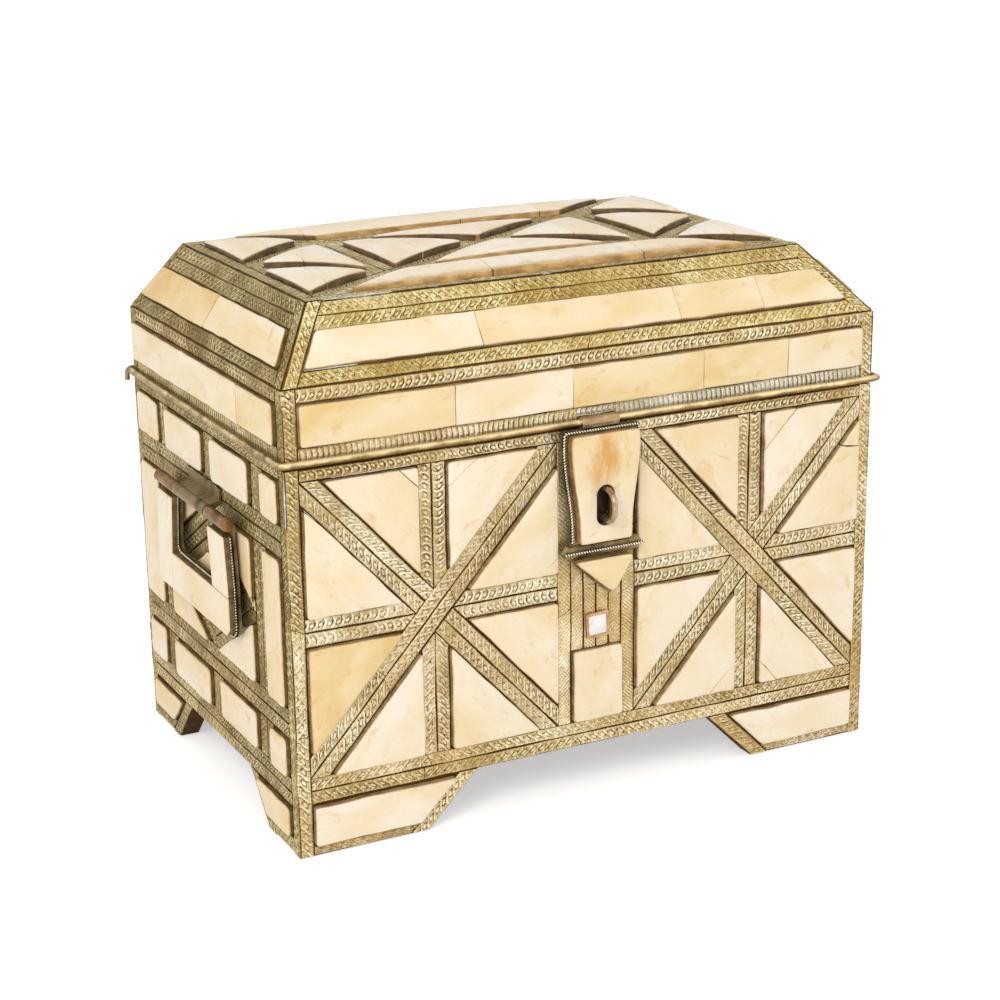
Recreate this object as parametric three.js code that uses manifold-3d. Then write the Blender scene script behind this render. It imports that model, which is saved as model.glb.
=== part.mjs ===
// A dowry chest of wooden boards, covered with bone plaques in a lattice of embossed brass strips.
// Millimetres, +Z up, the front facing -Y. The origin is on the floor, under the middle of the outer box.
import * as THREE from 'three';
import { mergeVertices } from 'three/addons/utils/BufferGeometryUtils.js';
import Module from 'manifold-3d';

const wasm = await Module();
wasm.setup();

// Body, over the brass strips
const bodyWidth = 400;
const bodyDepth = 260;
const baseTop = 237.5;
const lidWallHeight = 46.7;
const slopeHeight = 41.8;
const slopeInset = { front: 29, right: 38, back: 24, left: 29 };

// Boards, strips and seats
const baseBoard = 12;
const lidBoard = 9;
const floorBoard = 10;
const floorRise = 3;
const stripThickness = 1.2;
const seatGap = 0.3;
const mitreGap = 0.15;
const lidRestGap = 0.3;
const stripMitre = 0.9;
const stripEdge = 0.4;

// How far cutters run past what they cut
const cutPast = 30;

// Widths of the brass strips
const cornerStrip = 9.5;
const doubleStrip = 18;
const topStrip = 8;
const centreStrip = 9.5;

// Bone plaques
const plaqueGap = 0.3;
const plaqueRise = 4;
const plaqueBevel = 1.4;
const plaqueRoot = 1;
const frontCorner = 2.2;
const sideCorner = 4.5;

// Front and back faces
const frontApron = 33;
const frontApronStrips = 16.5;
const centrePanel = 54;
const centreBoneWidth = 35;
const centreBoneTop = 97;
const frontFoot = { floorSpan: 230, archSpan: 164, bottomStrip: 6.5, edgeStrip: 9.2 };

// Side faces: heights of their bands of strips and rows of bone, from the arch up and from the top down,
// and the middle and width of each pair of upright strips, with the front edge to the right
const sideApron = 30;
const sideFoot = { floorSpan: 160, archSpan: 104, bottomStrip: 9.5, edgeStrip: 9.2 };
const sideStack = { lowBand: 18, lowBones: 25, middleBand: 19, highBand: 20, highBones: 27, topStrip: 7.5 };
const sideUprights = {
  low: [[-80.5, 19], [3, 18], [84, 22]],
  tall: [[-78, 18], [85, 20]],
  high: [[-74, 15], [7, 16], [86, 18]],
};
const diamondWidth = 60;
const diamondHeight = 36;
const diamondBand = 27;
const diamondSpare = 4;

// Lid faces
const lidWallStrips = { bottom: 12, side: 9.5, top: 9.2 };
const slopeStrips = { bottom: 9.5, hip: 9, top: 18.5 };
const wallJoints = { front: [-94, -17, 73, 134], back: [-110, -30, 52, 126], side: [-29, 67] };
const slopeJoints = { front: [-72, 61, 120], back: [-96, 10, 92], side: [-2] };
const boneJoint = 0.4;

// Flat top of the lid, with its twelve thick plaques
const topBorder = 9;
const topBand = 17;
const topNodeShare = 0.545;
const topPlaqueRise = 5.2;
const topPlaqueCrown = 1.2;
const topPlaqueBevel = 2;
const topPlaqueCorner = 6;

// Round moulding along the lid's lower edge, which is also the hasp's pin
const moulding = { radius: 2.4, rise: 3.5, out: 2.7, endGap: 1 };

// Long hinge at the back
const hinge = { radius: 3.6, pinRadius: 1.7, clearance: 0.3, knuckles: 9, sideMargin: 5 };
const hingeLeaf = { thickness: 1.2, bed: 0.2, overlap: 0.7, shoulder: 0.8, margin: 0.5, endGap: 0.4 };
const hingePinEnd = { past: 4.5, bend: 3.5, tail: 4 };

// Hasp, with its levels as drops below the moulding, and the half widths of its bone at such drops
const hasp = {
  out: 4.4, plate: 1.6, bone: 6, margin: 2.9, wire: 1.2, slotHalf: 6,
  barRise: 2.2, barBevel: 2.6, barHalf: 24.6, earHalf: 28, tipHalf: 23.5, tipMargin: 2,
  knuckleRadius: 3.6, knuckleLength: 25, clearance: 0.25, notchGap: 0.7, cornerReach: 1.9,
};
const haspDrops = {
  top: 3, boneTop: 6, slotHigh: 38, slotLow: 63, boneBottom: 73.5, barTop: 74, barBottom: 83,
  tipTop: 84, tipBottom: 109.5,
};
const haspProfile = [[18.7, 73.5], [18.5, 63], [20.7, 44], [23.2, 26], [23.7, 6]];

// Wire loop that the hasp closes over
const staple = { drop: 50, wire: 1.9, legSpread: 9.6, reach: 13, clinch: 8, bend: 2.5, clearance: 0.3 };

// Small tile under the hasp
const tile = { rise: 14.5, frame: 16, rim: 1.7, frameThickness: 2, glass: 1.4 };

// Bail handles, with their levels as drops below the rod they turn on
const bail = {
  rodRise: 5, rodOut: 9, rodRadius: 2.2, clearance: 0.3, knuckleRadius: 4.4,
  out: 5, plate: 1.6, bone: 5.6, boneTop: 7, barTop: 42, bottom: 71.5,
  topHalf: 61.5, outerHalf: 65, innerTopHalf: 29.5, innerHalf: 34, cornerReach: 6, innerCorner: 3,
  boneMargin: 0.8, plateLap: 1,
};
const strap = { half: 26.7, sheet: 1.2, sideGap: 0.6, topMargin: 1, root: 3, bend: 5.5, lap: 0.6 };

// Levels that follow from these
const lidWallTop = baseTop + lidWallHeight;
const plateauTop = lidWallTop + slopeHeight;
const floorUnderside = frontApron + floorRise;
const mouldingHeight = baseTop + moulding.rise;
const haspAt = Object.fromEntries(
  Object.entries(haspDrops).map(([name, drop]) => [name, mouldingHeight - drop]),
);
const stapleHeight = mouldingHeight - staple.drop;
const tileHeight = centreBoneTop + tile.rise;
const lowRow = { low: sideApron + sideStack.lowBand, uprights: sideUprights.low };
lowRow.high = lowRow.low + sideStack.lowBones;
const highRow = { high: baseTop - sideStack.topStrip, uprights: sideUprights.high };
highRow.low = highRow.high - sideStack.highBones;
const tallRow = {
  low: lowRow.high + sideStack.middleBand, high: highRow.low - sideStack.highBand, uprights: sideUprights.tall,
};
const rodHeight = tallRow.high + bail.rodRise;
const skin = stripThickness + seatGap;

// Materials
function surface(colour, roughness, metalness) {
  return new THREE.MeshStandardMaterial({ color: colour, roughness, metalness });
}
const bone = surface(0xeadcb6, 0.45, 0);
const wood = surface(0x4a3020, 0.8, 0);
const agedBrass = surface(0x9c8f62, 0.45, 1);
const goldenBrass = surface(0xb08a48, 0.35, 1);
const tarnishedWire = surface(0xb9b3a2, 0.4, 1);
const whiteGlass = surface(0xf2f1ee, 0.15, 0);

// Groups that follow the way the chest moves
const chest = new THREE.Group();
const base = new THREE.Group();
const lid = new THREE.Group();
chest.add(base, lid);

function piece(parent, name, geometry, material) {
  const mesh = new THREE.Mesh(geometry, material);
  mesh.name = name;
  parent.add(mesh);
  return mesh;
}

// Joining and cutting
function solidOf(geometry) {
  const bare = geometry.clone();
  bare.deleteAttribute('normal');
  bare.deleteAttribute('uv');
  const merged = mergeVertices(bare, 1e-4);
  const vertProperties = new Float32Array(merged.attributes.position.array);
  const triVerts = new Uint32Array(merged.index.array);
  return new wasm.Manifold(new wasm.Mesh({ numProp: 3, vertProperties, triVerts }));
}

function geometryOf(solid) {
  const mesh = solid.getMesh();
  const positions = new Float32Array(mesh.numVert * 3);
  for (let vertex = 0; vertex < mesh.numVert; vertex += 1) {
    for (let axis = 0; axis < 3; axis += 1) {
      positions[3 * vertex + axis] = mesh.vertProperties[mesh.numProp * vertex + axis];
    }
  }
  const geometry = new THREE.BufferGeometry();
  geometry.setAttribute('position', new THREE.BufferAttribute(positions, 3));
  geometry.setIndex(new THREE.BufferAttribute(new Uint32Array(mesh.triVerts), 1));
  geometry.computeVertexNormals();
  return geometry;
}

function joined(geometries, cutters = []) {
  const whole = geometries.map(solidOf).reduce((sum, next) => sum.add(next));
  return geometryOf(cutters.map(solidOf).reduce((left, next) => left.subtract(next), whole));
}

// Flat outlines are lists of [across, up], anticlockwise seen from outside
function rectangle(u0, v0, u1, v1) {
  return [[u0, v0], [u1, v0], [u1, v1], [u0, v1]];
}

function mirrored(outline) {
  return outline.map(([u, v]) => [-u, v]).reverse();
}

function keepLeft(outline, from, to, clearance) {
  const run = [to[0] - from[0], to[1] - from[1]];
  const length = Math.hypot(...run);
  const side = ([u, v]) => (run[0] * (v - from[1]) - run[1] * (u - from[0])) / length - clearance;
  const kept = [];
  outline.forEach((p, i) => {
    const q = outline[(i + 1) % outline.length];
    const [here, next] = [side(p), side(q)];
    if (here >= 0) kept.push(p);
    if (here * next < 0) {
      const share = here / (here - next);
      kept.push([p[0] + (q[0] - p[0]) * share, p[1] + (q[1] - p[1]) * share]);
    }
  });
  return kept;
}

// Moves every edge inwards by its own width
function inset(outline, widths) {
  const edges = outline.map((p, i) => {
    const q = outline[(i + 1) % outline.length];
    const length = Math.hypot(q[0] - p[0], q[1] - p[1]);
    const normal = [(p[1] - q[1]) / length, (q[0] - p[0]) / length];
    const width = Array.isArray(widths) ? widths[i] : widths;
    return { normal, reach: normal[0] * p[0] + normal[1] * p[1] + width };
  });
  return edges.map((edge, i) => {
    const last = edges[(i + edges.length - 1) % edges.length];
    const det = last.normal[0] * edge.normal[1] - last.normal[1] * edge.normal[0];
    return [
      (last.reach * edge.normal[1] - edge.reach * last.normal[1]) / det,
      (last.normal[0] * edge.reach - edge.normal[0] * last.reach) / det,
    ];
  });
}

// Takes each corner off with a short curve that starts at the given reach from it
function softened(outline, reach, steps = 1) {
  const soft = [];
  outline.forEach((corner, i) => {
    const before = outline[(i + outline.length - 1) % outline.length];
    const after = outline[(i + 1) % outline.length];
    const towards = (end) => {
      const share = Math.min(reach / Math.hypot(end[0] - corner[0], end[1] - corner[1]), 0.4);
      return [corner[0] + (end[0] - corner[0]) * share, corner[1] + (end[1] - corner[1]) * share];
    };
    const [start, end] = [towards(before), towards(after)];
    for (let step = 0; step <= steps; step += 1) {
      const s = step / steps;
      soft.push([0, 1].map((k) => (1 - s) ** 2 * start[k] + 2 * s * (1 - s) * corner[k] + s ** 2 * end[k]));
    }
  });
  return soft;
}

function shapeOf(outline, holes = []) {
  const shape = new THREE.Shape(outline.map(([u, v]) => new THREE.Vector2(u, v)));
  shape.holes = holes.map((hole) => new THREE.Path(hole.map(([u, v]) => new THREE.Vector2(u, v))));
  return shape;
}

// A flat piece that stands from one distance out of the face to another
function plate(outline, holes, from, to) {
  const geometry = new THREE.ExtrudeGeometry(shapeOf(outline, holes), { depth: to - from, bevelEnabled: false });
  return geometry.translate(0, 0, from);
}

// A closed skin through outlines of equal count, each with its distance out of the face
function loft(levels) {
  const count = levels[0].outline.length;
  const positions = levels.flatMap(({ outline, out }) => outline.flatMap(([u, v]) => [u, v, out]));
  const index = [];
  for (let level = 0; level < levels.length - 1; level += 1) {
    for (let i = 0; i < count; i += 1) {
      const [a, b] = [level * count + i, level * count + ((i + 1) % count)];
      index.push(a, b, b + count, a, b + count, a + count);
    }
  }
  const last = (levels.length - 1) * count;
  for (let i = 1; i < count - 1; i += 1) {
    index.push(0, i + 1, i, last, last + i, last + i + 1);
  }
  const geometry = new THREE.BufferGeometry();
  geometry.setAttribute('position', new THREE.Float32BufferAttribute(positions, 3));
  geometry.setIndex(index);
  return geometry;
}

function circle(radius, sides) {
  return Array.from({ length: sides }, (_, i) => {
    const angle = (2 * Math.PI * i) / sides;
    return [radius * Math.cos(angle), radius * Math.sin(angle)];
  });
}

// Holes stand outside their true circle and rods inside, so that they never touch
function boreCircle(radius, sides) {
  return circle(radius / Math.cos(Math.PI / sides), sides);
}

// A round bar across the face, from one place to another along it
function barAcross(outline, from, to, height, out) {
  const geometry = plate(outline, [], from, to);
  return geometry.rotateY(Math.PI / 2).translate(0, height, out);
}

// A route through points with a ring of the tube at each of them
class Route extends THREE.Curve {
  constructor(points) {
    super();
    this.points = points;
  }

  getUtoTmapping(share) {
    return share;
  }

  getPoint(share, target = new THREE.Vector3()) {
    const place = Math.min(Math.max(share, 0), 1) * (this.points.length - 1);
    const first = Math.min(Math.floor(place), this.points.length - 2);
    return target.lerpVectors(this.points[first], this.points[first + 1], place - first);
  }
}

function tube(points, radius, sides) {
  const extrudePath = new Route(points);
  return new THREE.ExtrudeGeometry(shapeOf(circle(radius, sides)), {
    steps: points.length - 1, bevelEnabled: false, extrudePath,
  });
}

// Points along an arc in a plane spanned by two unit directions
function arc(centre, radius, across, up, fromDegrees, toDegrees, steps) {
  return Array.from({ length: steps + 1 }, (_, i) => {
    const angle = THREE.MathUtils.degToRad(fromDegrees + ((toDegrees - fromDegrees) * i) / steps);
    return centre.clone()
      .addScaledVector(across, radius * Math.cos(angle))
      .addScaledVector(up, radius * Math.sin(angle));
  });
}

// A face of the chest: its group has X across the face, Y up it and Z out of it
function face(parent, origin, across, up) {
  const out = new THREE.Vector3().crossVectors(across, up).normalize();
  const matrix = new THREE.Matrix4().makeBasis(across, up, out).setPosition(origin);
  const group = new THREE.Group();
  matrix.decompose(group.position, group.quaternion, group.scale);
  parent.add(group);
  return { group, matrix, plane: new THREE.Plane().setFromNormalAndCoplanarPoint(out, origin) };
}

const X = new THREE.Vector3(1, 0, 0);
const Y = new THREE.Vector3(0, 1, 0);
const Z = new THREE.Vector3(0, 0, 1);
const sideNames = ['front', 'right', 'back', 'left'];
const sideOrigins = {
  front: new THREE.Vector3(0, -bodyDepth / 2, 0),
  right: new THREE.Vector3(bodyWidth / 2, 0, 0),
  back: new THREE.Vector3(0, bodyDepth / 2, 0),
  left: new THREE.Vector3(-bodyWidth / 2, 0, 0),
};
const sideAcross = { front: X, right: Y, back: X.clone().negate(), left: Y.clone().negate() };

function sideFace(parent, name) {
  return face(parent, sideOrigins[name], sideAcross[name], Z);
}

function slopeFace(name) {
  const inward = new THREE.Vector3().crossVectors(Z, sideAcross[name]);
  const up = inward.clone().multiplyScalar(slopeInset[name]).addScaledVector(Z, plateauTop - lidWallTop);
  return face(lid, sideOrigins[name].clone().setZ(lidWallTop), sideAcross[name], up.normalize());
}

const baseWalls = Object.fromEntries(sideNames.map((name) => [name, sideFace(base, name)]));
const lidWalls = Object.fromEntries(sideNames.map((name) => [name, sideFace(lid, name)]));
const slopes = Object.fromEntries(sideNames.map((name) => [name, slopeFace(name)]));
const plateauMiddle = new THREE.Vector3(
  (slopeInset.left - slopeInset.right) / 2,
  (slopeInset.front - slopeInset.back) / 2,
  plateauTop,
);
const plateau = face(lid, plateauMiddle, X, Y);

function planeSeenFrom(viewer, other) {
  return other.plane.clone().applyMatrix4(viewer.matrix.clone().invert());
}

// A block that fills everything beyond a plane
function beyond(normal, distance) {
  const size = 1200;
  const turn = new THREE.Quaternion().setFromUnitVectors(Z, normal);
  const matrix = new THREE.Matrix4().makeRotationFromQuaternion(turn);
  matrix.setPosition(normal.clone().multiplyScalar(distance));
  return new THREE.BoxGeometry(size, size, size).translate(0, 0, size / 2).applyMatrix4(matrix);
}

// Everything that is nearer to another face than to this one, which gives mitred board edges
function mitreCut(here, other) {
  const plane = planeSeenFrom(here, other);
  const normal = plane.normal.clone().sub(Z);
  const length = normal.length();
  return beyond(normal.divideScalar(length), -plane.constant / length - mitreGap);
}

function board(here, others, thickness, plaques, cutters) {
  const size = 700;
  const blank = new THREE.BoxGeometry(size, size, thickness).translate(0, 0, -skin - thickness / 2);
  const mitres = others.filter((other) => other !== here).map((other) => mitreCut(here, other));
  const bare = joined([blank], [...mitres, ...cutters]);
  return plaques.length ? joined([bare, ...plaques]) : bare;
}

// Cells are the openings of the brass lattice, which the bone fills
function splitAt(outline, joints) {
  const edges = [-Infinity, ...joints, Infinity];
  return edges.slice(1).map((right, i) => {
    const left = edges[i];
    const start = Number.isFinite(left) ? keepLeft(outline, [left, 1], [left, 0], boneJoint / 2) : outline;
    return Number.isFinite(right) ? keepLeft(start, [right, 0], [right, 1], boneJoint / 2) : start;
  });
}

function plaquesOf(cells, reach, steps) {
  const bevelled = (outline) => {
    const rim = softened(outline, reach, steps);
    const crown = softened(inset(outline, plaqueBevel), Math.max(reach - plaqueBevel / 2, 0.8), steps);
    return loft([
      { outline: rim, out: -skin - plaqueRoot },
      { outline: rim, out: plaqueRise - plaqueBevel },
      { outline: crown, out: plaqueRise },
    ]);
  };
  return cells.flatMap(({ outline, joints = [] }) => splitAt(inset(outline, plaqueGap), joints).map(bevelled));
}

function lattice(outline, cells, reach, steps, extraHoles = []) {
  const holes = cells.map((cell) => softened(cell.outline, reach, steps));
  return plate(outline, [...holes, ...extraHoles], -stripThickness, 0);
}

// Front and back of the base
const half = { front: bodyWidth / 2, side: bodyDepth / 2 };

function crossPanel(u0, v0, u1, v1) {
  const centre = [(u0 + u1) / 2, (v0 + v1) / 2];
  const band = doubleStrip / 2;
  const cells = [];
  for (const [cornerU, cornerV] of rectangle(u0, v0, u1, v1)) {
    const [uLow, uHigh] = cornerU < centre[0] ? [u0, centre[0] - band] : [centre[0] + band, u1];
    const [vLow, vHigh] = cornerV < centre[1] ? [v0, centre[1] - band] : [centre[1] + band, v1];
    const quarter = rectangle(uLow, vLow, uHigh, vHigh);
    cells.push({ outline: keepLeft(quarter, centre, [cornerU, cornerV], band) });
    cells.push({ outline: keepLeft(quarter, [cornerU, cornerV], centre, band) });
  }
  return cells;
}

function footOutline(foot, apron, corner, halfLength) {
  return [
    [foot.floorSpan / 2, 0], [halfLength - corner, 0], [halfLength - corner, apron], [foot.archSpan / 2, apron],
  ];
}

function footCells(foot, apron, halfLength) {
  const outline = footOutline(foot, apron, cornerStrip, halfLength);
  const cell = inset(outline, [foot.bottomStrip, 0, 1, foot.edgeStrip]);
  return [{ outline: cell }, { outline: mirrored(cell) }];
}

function archOutline(foot, apron) {
  const slant = (foot.floorSpan - foot.archSpan) / 2 / apron;
  const lowHalf = foot.floorSpan / 2 + slant * cutPast;
  return [[-lowHalf, -cutPast], [lowHalf, -cutPast], [foot.archSpan / 2, apron], [-foot.archSpan / 2, apron]];
}

function baseOutline(foot, apron, halfLength) {
  const high = baseTop - stripEdge;
  const low = stripEdge;
  return [
    [-halfLength, low], [-foot.floorSpan / 2 - stripEdge, low], [-foot.archSpan / 2 - stripEdge, apron + stripEdge],
    [foot.archSpan / 2 + stripEdge, apron + stripEdge], [foot.floorSpan / 2 + stripEdge, low], [halfLength, low],
    [halfLength, high], [-halfLength, high],
  ];
}

const panelLow = frontApron + frontApronStrips;
const panelHigh = baseTop - topStrip;
const frontPanels = [
  ...crossPanel(-half.front + cornerStrip, panelLow, -centrePanel / 2, panelHigh),
  ...crossPanel(centrePanel / 2, panelLow, half.front - cornerStrip, panelHigh),
];
const centreBone = { outline: rectangle(-centreBoneWidth / 2, panelLow, centreBoneWidth / 2, centreBoneTop) };
const backBone = {
  outline: rectangle(-centreBoneWidth / 2, centreBoneTop + centreStrip, centreBoneWidth / 2, panelHigh),
};
const frontCells = [...frontPanels, centreBone, ...footCells(frontFoot, frontApron, half.front)];
const backCells = [...frontCells, backBone];

// Sides of the base
function rowCells({ low, high, uprights }) {
  const edges = [-half.side + cornerStrip];
  for (const [middle, width] of uprights) edges.push(middle - width / 2, middle + width / 2);
  edges.push(half.side - cornerStrip);
  const cells = [];
  for (let i = 0; i < edges.length; i += 2) {
    cells.push({ outline: rectangle(edges[i], low, edges[i + 1], high) });
  }
  return cells;
}

function diamondCells({ low, high, uprights }) {
  const left = uprights[0][0] + uprights[0][1] / 2;
  const right = uprights[1][0] - uprights[1][1] / 2;
  const middle = [(left + right) / 2, (low + high) / 2];
  const diamond = [
    [middle[0] - diamondWidth / 2, middle[1]], [middle[0], middle[1] - diamondHeight / 2],
    [middle[0] + diamondWidth / 2, middle[1]], [middle[0], middle[1] + diamondHeight / 2],
  ];
  const field = rectangle(left, low, right, high);
  const corners = diamond.map((p, i) => {
    const q = diamond[(i + 1) % diamond.length];
    const corner = keepLeft(field, q, p, diamondBand);
    const quarter = keepLeft(keepLeft(corner, middle, p, diamondSpare), q, middle, diamondSpare);
    return { outline: quarter };
  });
  return [{ outline: diamond }, ...corners];
}

const tallCells = rowCells(tallRow);
const leftCells = [
  ...rowCells(lowRow), tallCells[0], tallCells[2], ...diamondCells(tallRow), ...rowCells(highRow),
  ...footCells(sideFoot, sideApron, half.side),
];
const rightCells = leftCells.map(({ outline }) => ({ outline: mirrored(outline) }));

const baseFaces = {
  front: { cells: frontCells, foot: frontFoot, apron: frontApron, halfLength: half.front, reach: frontCorner },
  back: { cells: backCells, foot: frontFoot, apron: frontApron, halfLength: half.front, reach: frontCorner },
  right: { cells: rightCells, foot: sideFoot, apron: sideApron, halfLength: half.side - skin, reach: sideCorner },
  left: { cells: leftCells, foot: sideFoot, apron: sideApron, halfLength: half.side - skin, reach: sideCorner },
};
const stapleHoles = [-1, 1].map((side) => stapleHeight + side * staple.legSpread);

for (const name of sideNames) {
  const { cells, foot, apron, halfLength, reach } = baseFaces[name];
  const here = baseWalls[name];
  const arch = plate(archOutline(foot, apron), [], -bodyDepth, cutPast);
  const cutters = [beyond(Y, baseTop), beyond(Y.clone().negate(), 0), arch];
  const stripHoles = [];
  if (name === 'front') {
    const hole = boreCircle(staple.wire + staple.clearance, 8);
    for (const up of stapleHoles) {
      const outline = hole.map(([u, v]) => [u, v + up]);
      cutters.push(plate(outline, [], -cutPast, cutPast));
      stripHoles.push(outline);
    }
  }
  const wall = board(here, Object.values(baseWalls), baseBoard, plaquesOf(cells, reach), cutters);
  piece(here.group, `${name}_board`, wall, bone);
  const outline = baseOutline(foot, apron, halfLength);
  piece(here.group, `${name}_strips`, lattice(outline, cells, reach, 1, stripHoles), agedBrass);
}

const floorHalf = {
  x: bodyWidth / 2 - skin - baseBoard - seatGap,
  y: bodyDepth / 2 - skin - baseBoard - seatGap,
};
const floorGeometry = new THREE.BoxGeometry(2 * floorHalf.x, 2 * floorHalf.y, floorBoard);
piece(base, 'floor_board', floorGeometry.translate(0, 0, floorUnderside + floorBoard / 2), wood);

// Tile on the front strips, in its square rim
const onFront = baseWalls.front.group;
const tileOutline = (size) => rectangle(-size / 2, tileHeight - size / 2, size / 2, tileHeight + size / 2);
const tileOpening = tile.frame - 2 * tile.rim;
piece(onFront, 'tile_rim',
  plate(tileOutline(tile.frame), [tileOutline(tileOpening)], seatGap, seatGap + tile.frameThickness),
  goldenBrass);
piece(onFront, 'tile',
  plate(tileOutline(tileOpening - 2 * seatGap), [], seatGap, seatGap + tile.glass), whiteGlass);

// Wire staple: its legs run through the front board and are clinched inside it
function staplePoints() {
  const inside = -skin - baseBoard - seatGap - staple.wire;
  const at = (up, out) => new THREE.Vector3(0, stapleHeight + up, out);
  const leg = staple.legSpread;
  const upper = [
    at(leg + staple.clinch, inside),
    ...arc(at(leg + staple.bend, inside + staple.bend), staple.bend, Y, Z, -90, -180, 4),
  ];
  const lower = upper.map((p) => new THREE.Vector3(0, 2 * stapleHeight - p.y, p.z)).reverse();
  return [...upper, ...arc(at(0, staple.reach), leg, Y, Z, 0, 180, 12), ...lower];
}
piece(onFront, 'hasp_staple', tube(staplePoints(), staple.wire, 8), tarnishedWire);

// Lid boards with their strips
const lidBottom = baseTop + lidRestGap;
const lidFaces = [...Object.values(lidWalls), ...Object.values(slopes), plateau];
const lidCutters = [beyond(Y.clone().negate(), -lidBottom)];
const knuckleNotch = {
  half: hasp.knuckleLength / 2 + hasp.notchGap,
  top: mouldingHeight + hasp.knuckleRadius + hasp.notchGap,
};

function lidWallOutline(name, halfLength) {
  const low = lidBottom + stripEdge;
  const high = lidWallTop - stripMitre;
  const outline = rectangle(-halfLength, low, halfLength, high);
  if (name !== 'front') return outline;
  const { half: reach, top } = knuckleNotch;
  outline.splice(1, 0, [-reach, low], [-reach, top], [reach, top], [reach, low]);
  return outline;
}

for (const name of sideNames) {
  const here = lidWalls[name];
  const onSide = name === 'left' || name === 'right';
  const fullLength = onSide ? half.side : half.front;
  const joints = onSide ? wallJoints.side : wallJoints[name];
  const { bottom, side, top } = lidWallStrips;
  const row = rectangle(-fullLength + side, lidBottom + bottom, fullLength - side, lidWallTop - top);
  const cells = [{ outline: row, joints: name === 'right' ? joints.map((u) => -u).reverse() : joints }];
  const wall = board(here, lidFaces, lidBoard, plaquesOf(cells, frontCorner), lidCutters);
  piece(here.group, `lid_${name}_board`, wall, bone);
  const outline = lidWallOutline(name, onSide ? fullLength - skin : fullLength);
  piece(here.group, `lid_${name}_strips`, lattice(outline, cells, frontCorner, 1), agedBrass);
}

// Outline of a face from the faces round it, starting with the one at its lower edge
function outlineBetween(here, neighbours) {
  const lines = neighbours.map((other) => planeSeenFrom(here, other));
  return lines.map((line, i) => {
    const last = lines[(i + lines.length - 1) % lines.length];
    const det = last.normal.x * line.normal.y - last.normal.y * line.normal.x;
    return [
      (line.constant * last.normal.y - last.constant * line.normal.y) / det,
      (last.constant * line.normal.x - line.constant * last.normal.x) / det,
    ];
  });
}

sideNames.forEach((name, i) => {
  const here = slopes[name];
  const [toRight, toLeft] = [slopes[sideNames[(i + 1) % 4]], slopes[sideNames[(i + 3) % 4]]];
  const whole = outlineBetween(here, [lidWalls[name], toRight, plateau, toLeft]);
  const { bottom, hip, top } = slopeStrips;
  const onSide = name === 'left' || name === 'right';
  const joints = onSide ? slopeJoints.side : slopeJoints[name];
  const cells = [{ outline: inset(whole, [bottom, hip, top, hip]), joints }];
  const slope = board(here, lidFaces, lidBoard, plaquesOf(cells, frontCorner), []);
  piece(here.group, `lid_${name}_slope`, slope, bone);
  piece(here.group, `lid_${name}_slope_strips`,
    lattice(inset(whole, stripMitre), cells, frontCorner, 1), agedBrass);
});

// Flat top: board, strips and twelve thick plaques
const topOutline = outlineBetween(plateau, sideNames.map((name) => slopes[name]));
piece(plateau.group, 'lid_top_board', board(plateau, lidFaces, lidBoard, [], []), wood);

function topCells() {
  const [K0, K1, K2, K3] = topOutline;
  const node = (corner) => corner.map((value) => value * topNodeShare);
  const [A0, A1, A2, A3] = topOutline.map(node);
  const [M, N] = [[K0[0], 0], [K1[0], 0]];
  const C = [0, 0];
  const [b, e] = [topBand / 2, topBorder];
  const cell = (name, outline, widths) => ({ name, outline: inset(outline, widths) });
  return [
    cell('front_long', [K0, K1, A1, A0], [e, b, b, b]),
    cell('back_long', [K2, K3, A3, A2], [e, b, b, b]),
    cell('front_inner', [A0, A1, C], [b, b, b]),
    cell('back_inner', [A2, A3, C], [b, b, b]),
    cell('right_inner', [A1, A2, C], [b, b, b]),
    cell('left_inner', [A3, A0, C], [b, b, b]),
    cell('right_outer', [A1, N, A2], [b, b, b]),
    cell('left_outer', [A3, M, A0], [b, b, b]),
    cell('front_left_border', [K0, A0, M], [b, b, e]),
    cell('back_left_border', [M, A3, K3], [b, b, e]),
    cell('front_right_border', [N, A1, K1], [b, b, e]),
    cell('back_right_border', [K2, A2, N], [b, b, e]),
  ];
}

function crownedPlaque(outline) {
  const level = (inward, out) => ({
    outline: softened(inset(outline, inward), Math.max(topPlaqueCorner - inward / 2, 1.5), 2), out,
  });
  return loft([
    level(plaqueGap, -stripThickness),
    level(plaqueGap, topPlaqueRise - topPlaqueBevel),
    level(plaqueGap + topPlaqueBevel, topPlaqueRise),
    level(plaqueGap + 3 * topPlaqueBevel, topPlaqueRise + topPlaqueCrown),
  ]);
}

const plateauCells = topCells();
for (const { name, outline } of plateauCells) {
  piece(plateau.group, `top_plaque_${name}`, crownedPlaque(outline), bone);
}
piece(plateau.group, 'lid_top_strips',
  lattice(inset(topOutline, stripMitre), plateauCells, topPlaqueCorner, 2), agedBrass);

// Moulding: a rod round the front and both sides of the lid
function mouldingPoints() {
  const { out } = moulding;
  const corner = (side) => new THREE.Vector3(side * bodyWidth / 2, -bodyDepth / 2, mouldingHeight);
  const end = bodyDepth / 2 - moulding.endGap;
  return [
    new THREE.Vector3(-bodyWidth / 2 - out, end, mouldingHeight),
    ...arc(corner(-1), out, X, Y, 180, 270, 4),
    ...arc(corner(1), out, X, Y, 270, 360, 4),
    new THREE.Vector3(bodyWidth / 2 + out, end, mouldingHeight),
  ];
}
piece(lid, 'lid_moulding', tube(mouldingPoints(), moulding.radius, 10), goldenBrass);

// Long hinge: two leaves with rolled knuckles in turn, and a pin with bent ends
const hingeOut = hinge.radius + seatGap + hingeLeaf.bed;
const hingeLength = bodyWidth - 2 * hinge.sideMargin;
const knucklePitch = hingeLength / hinge.knuckles;

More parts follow.
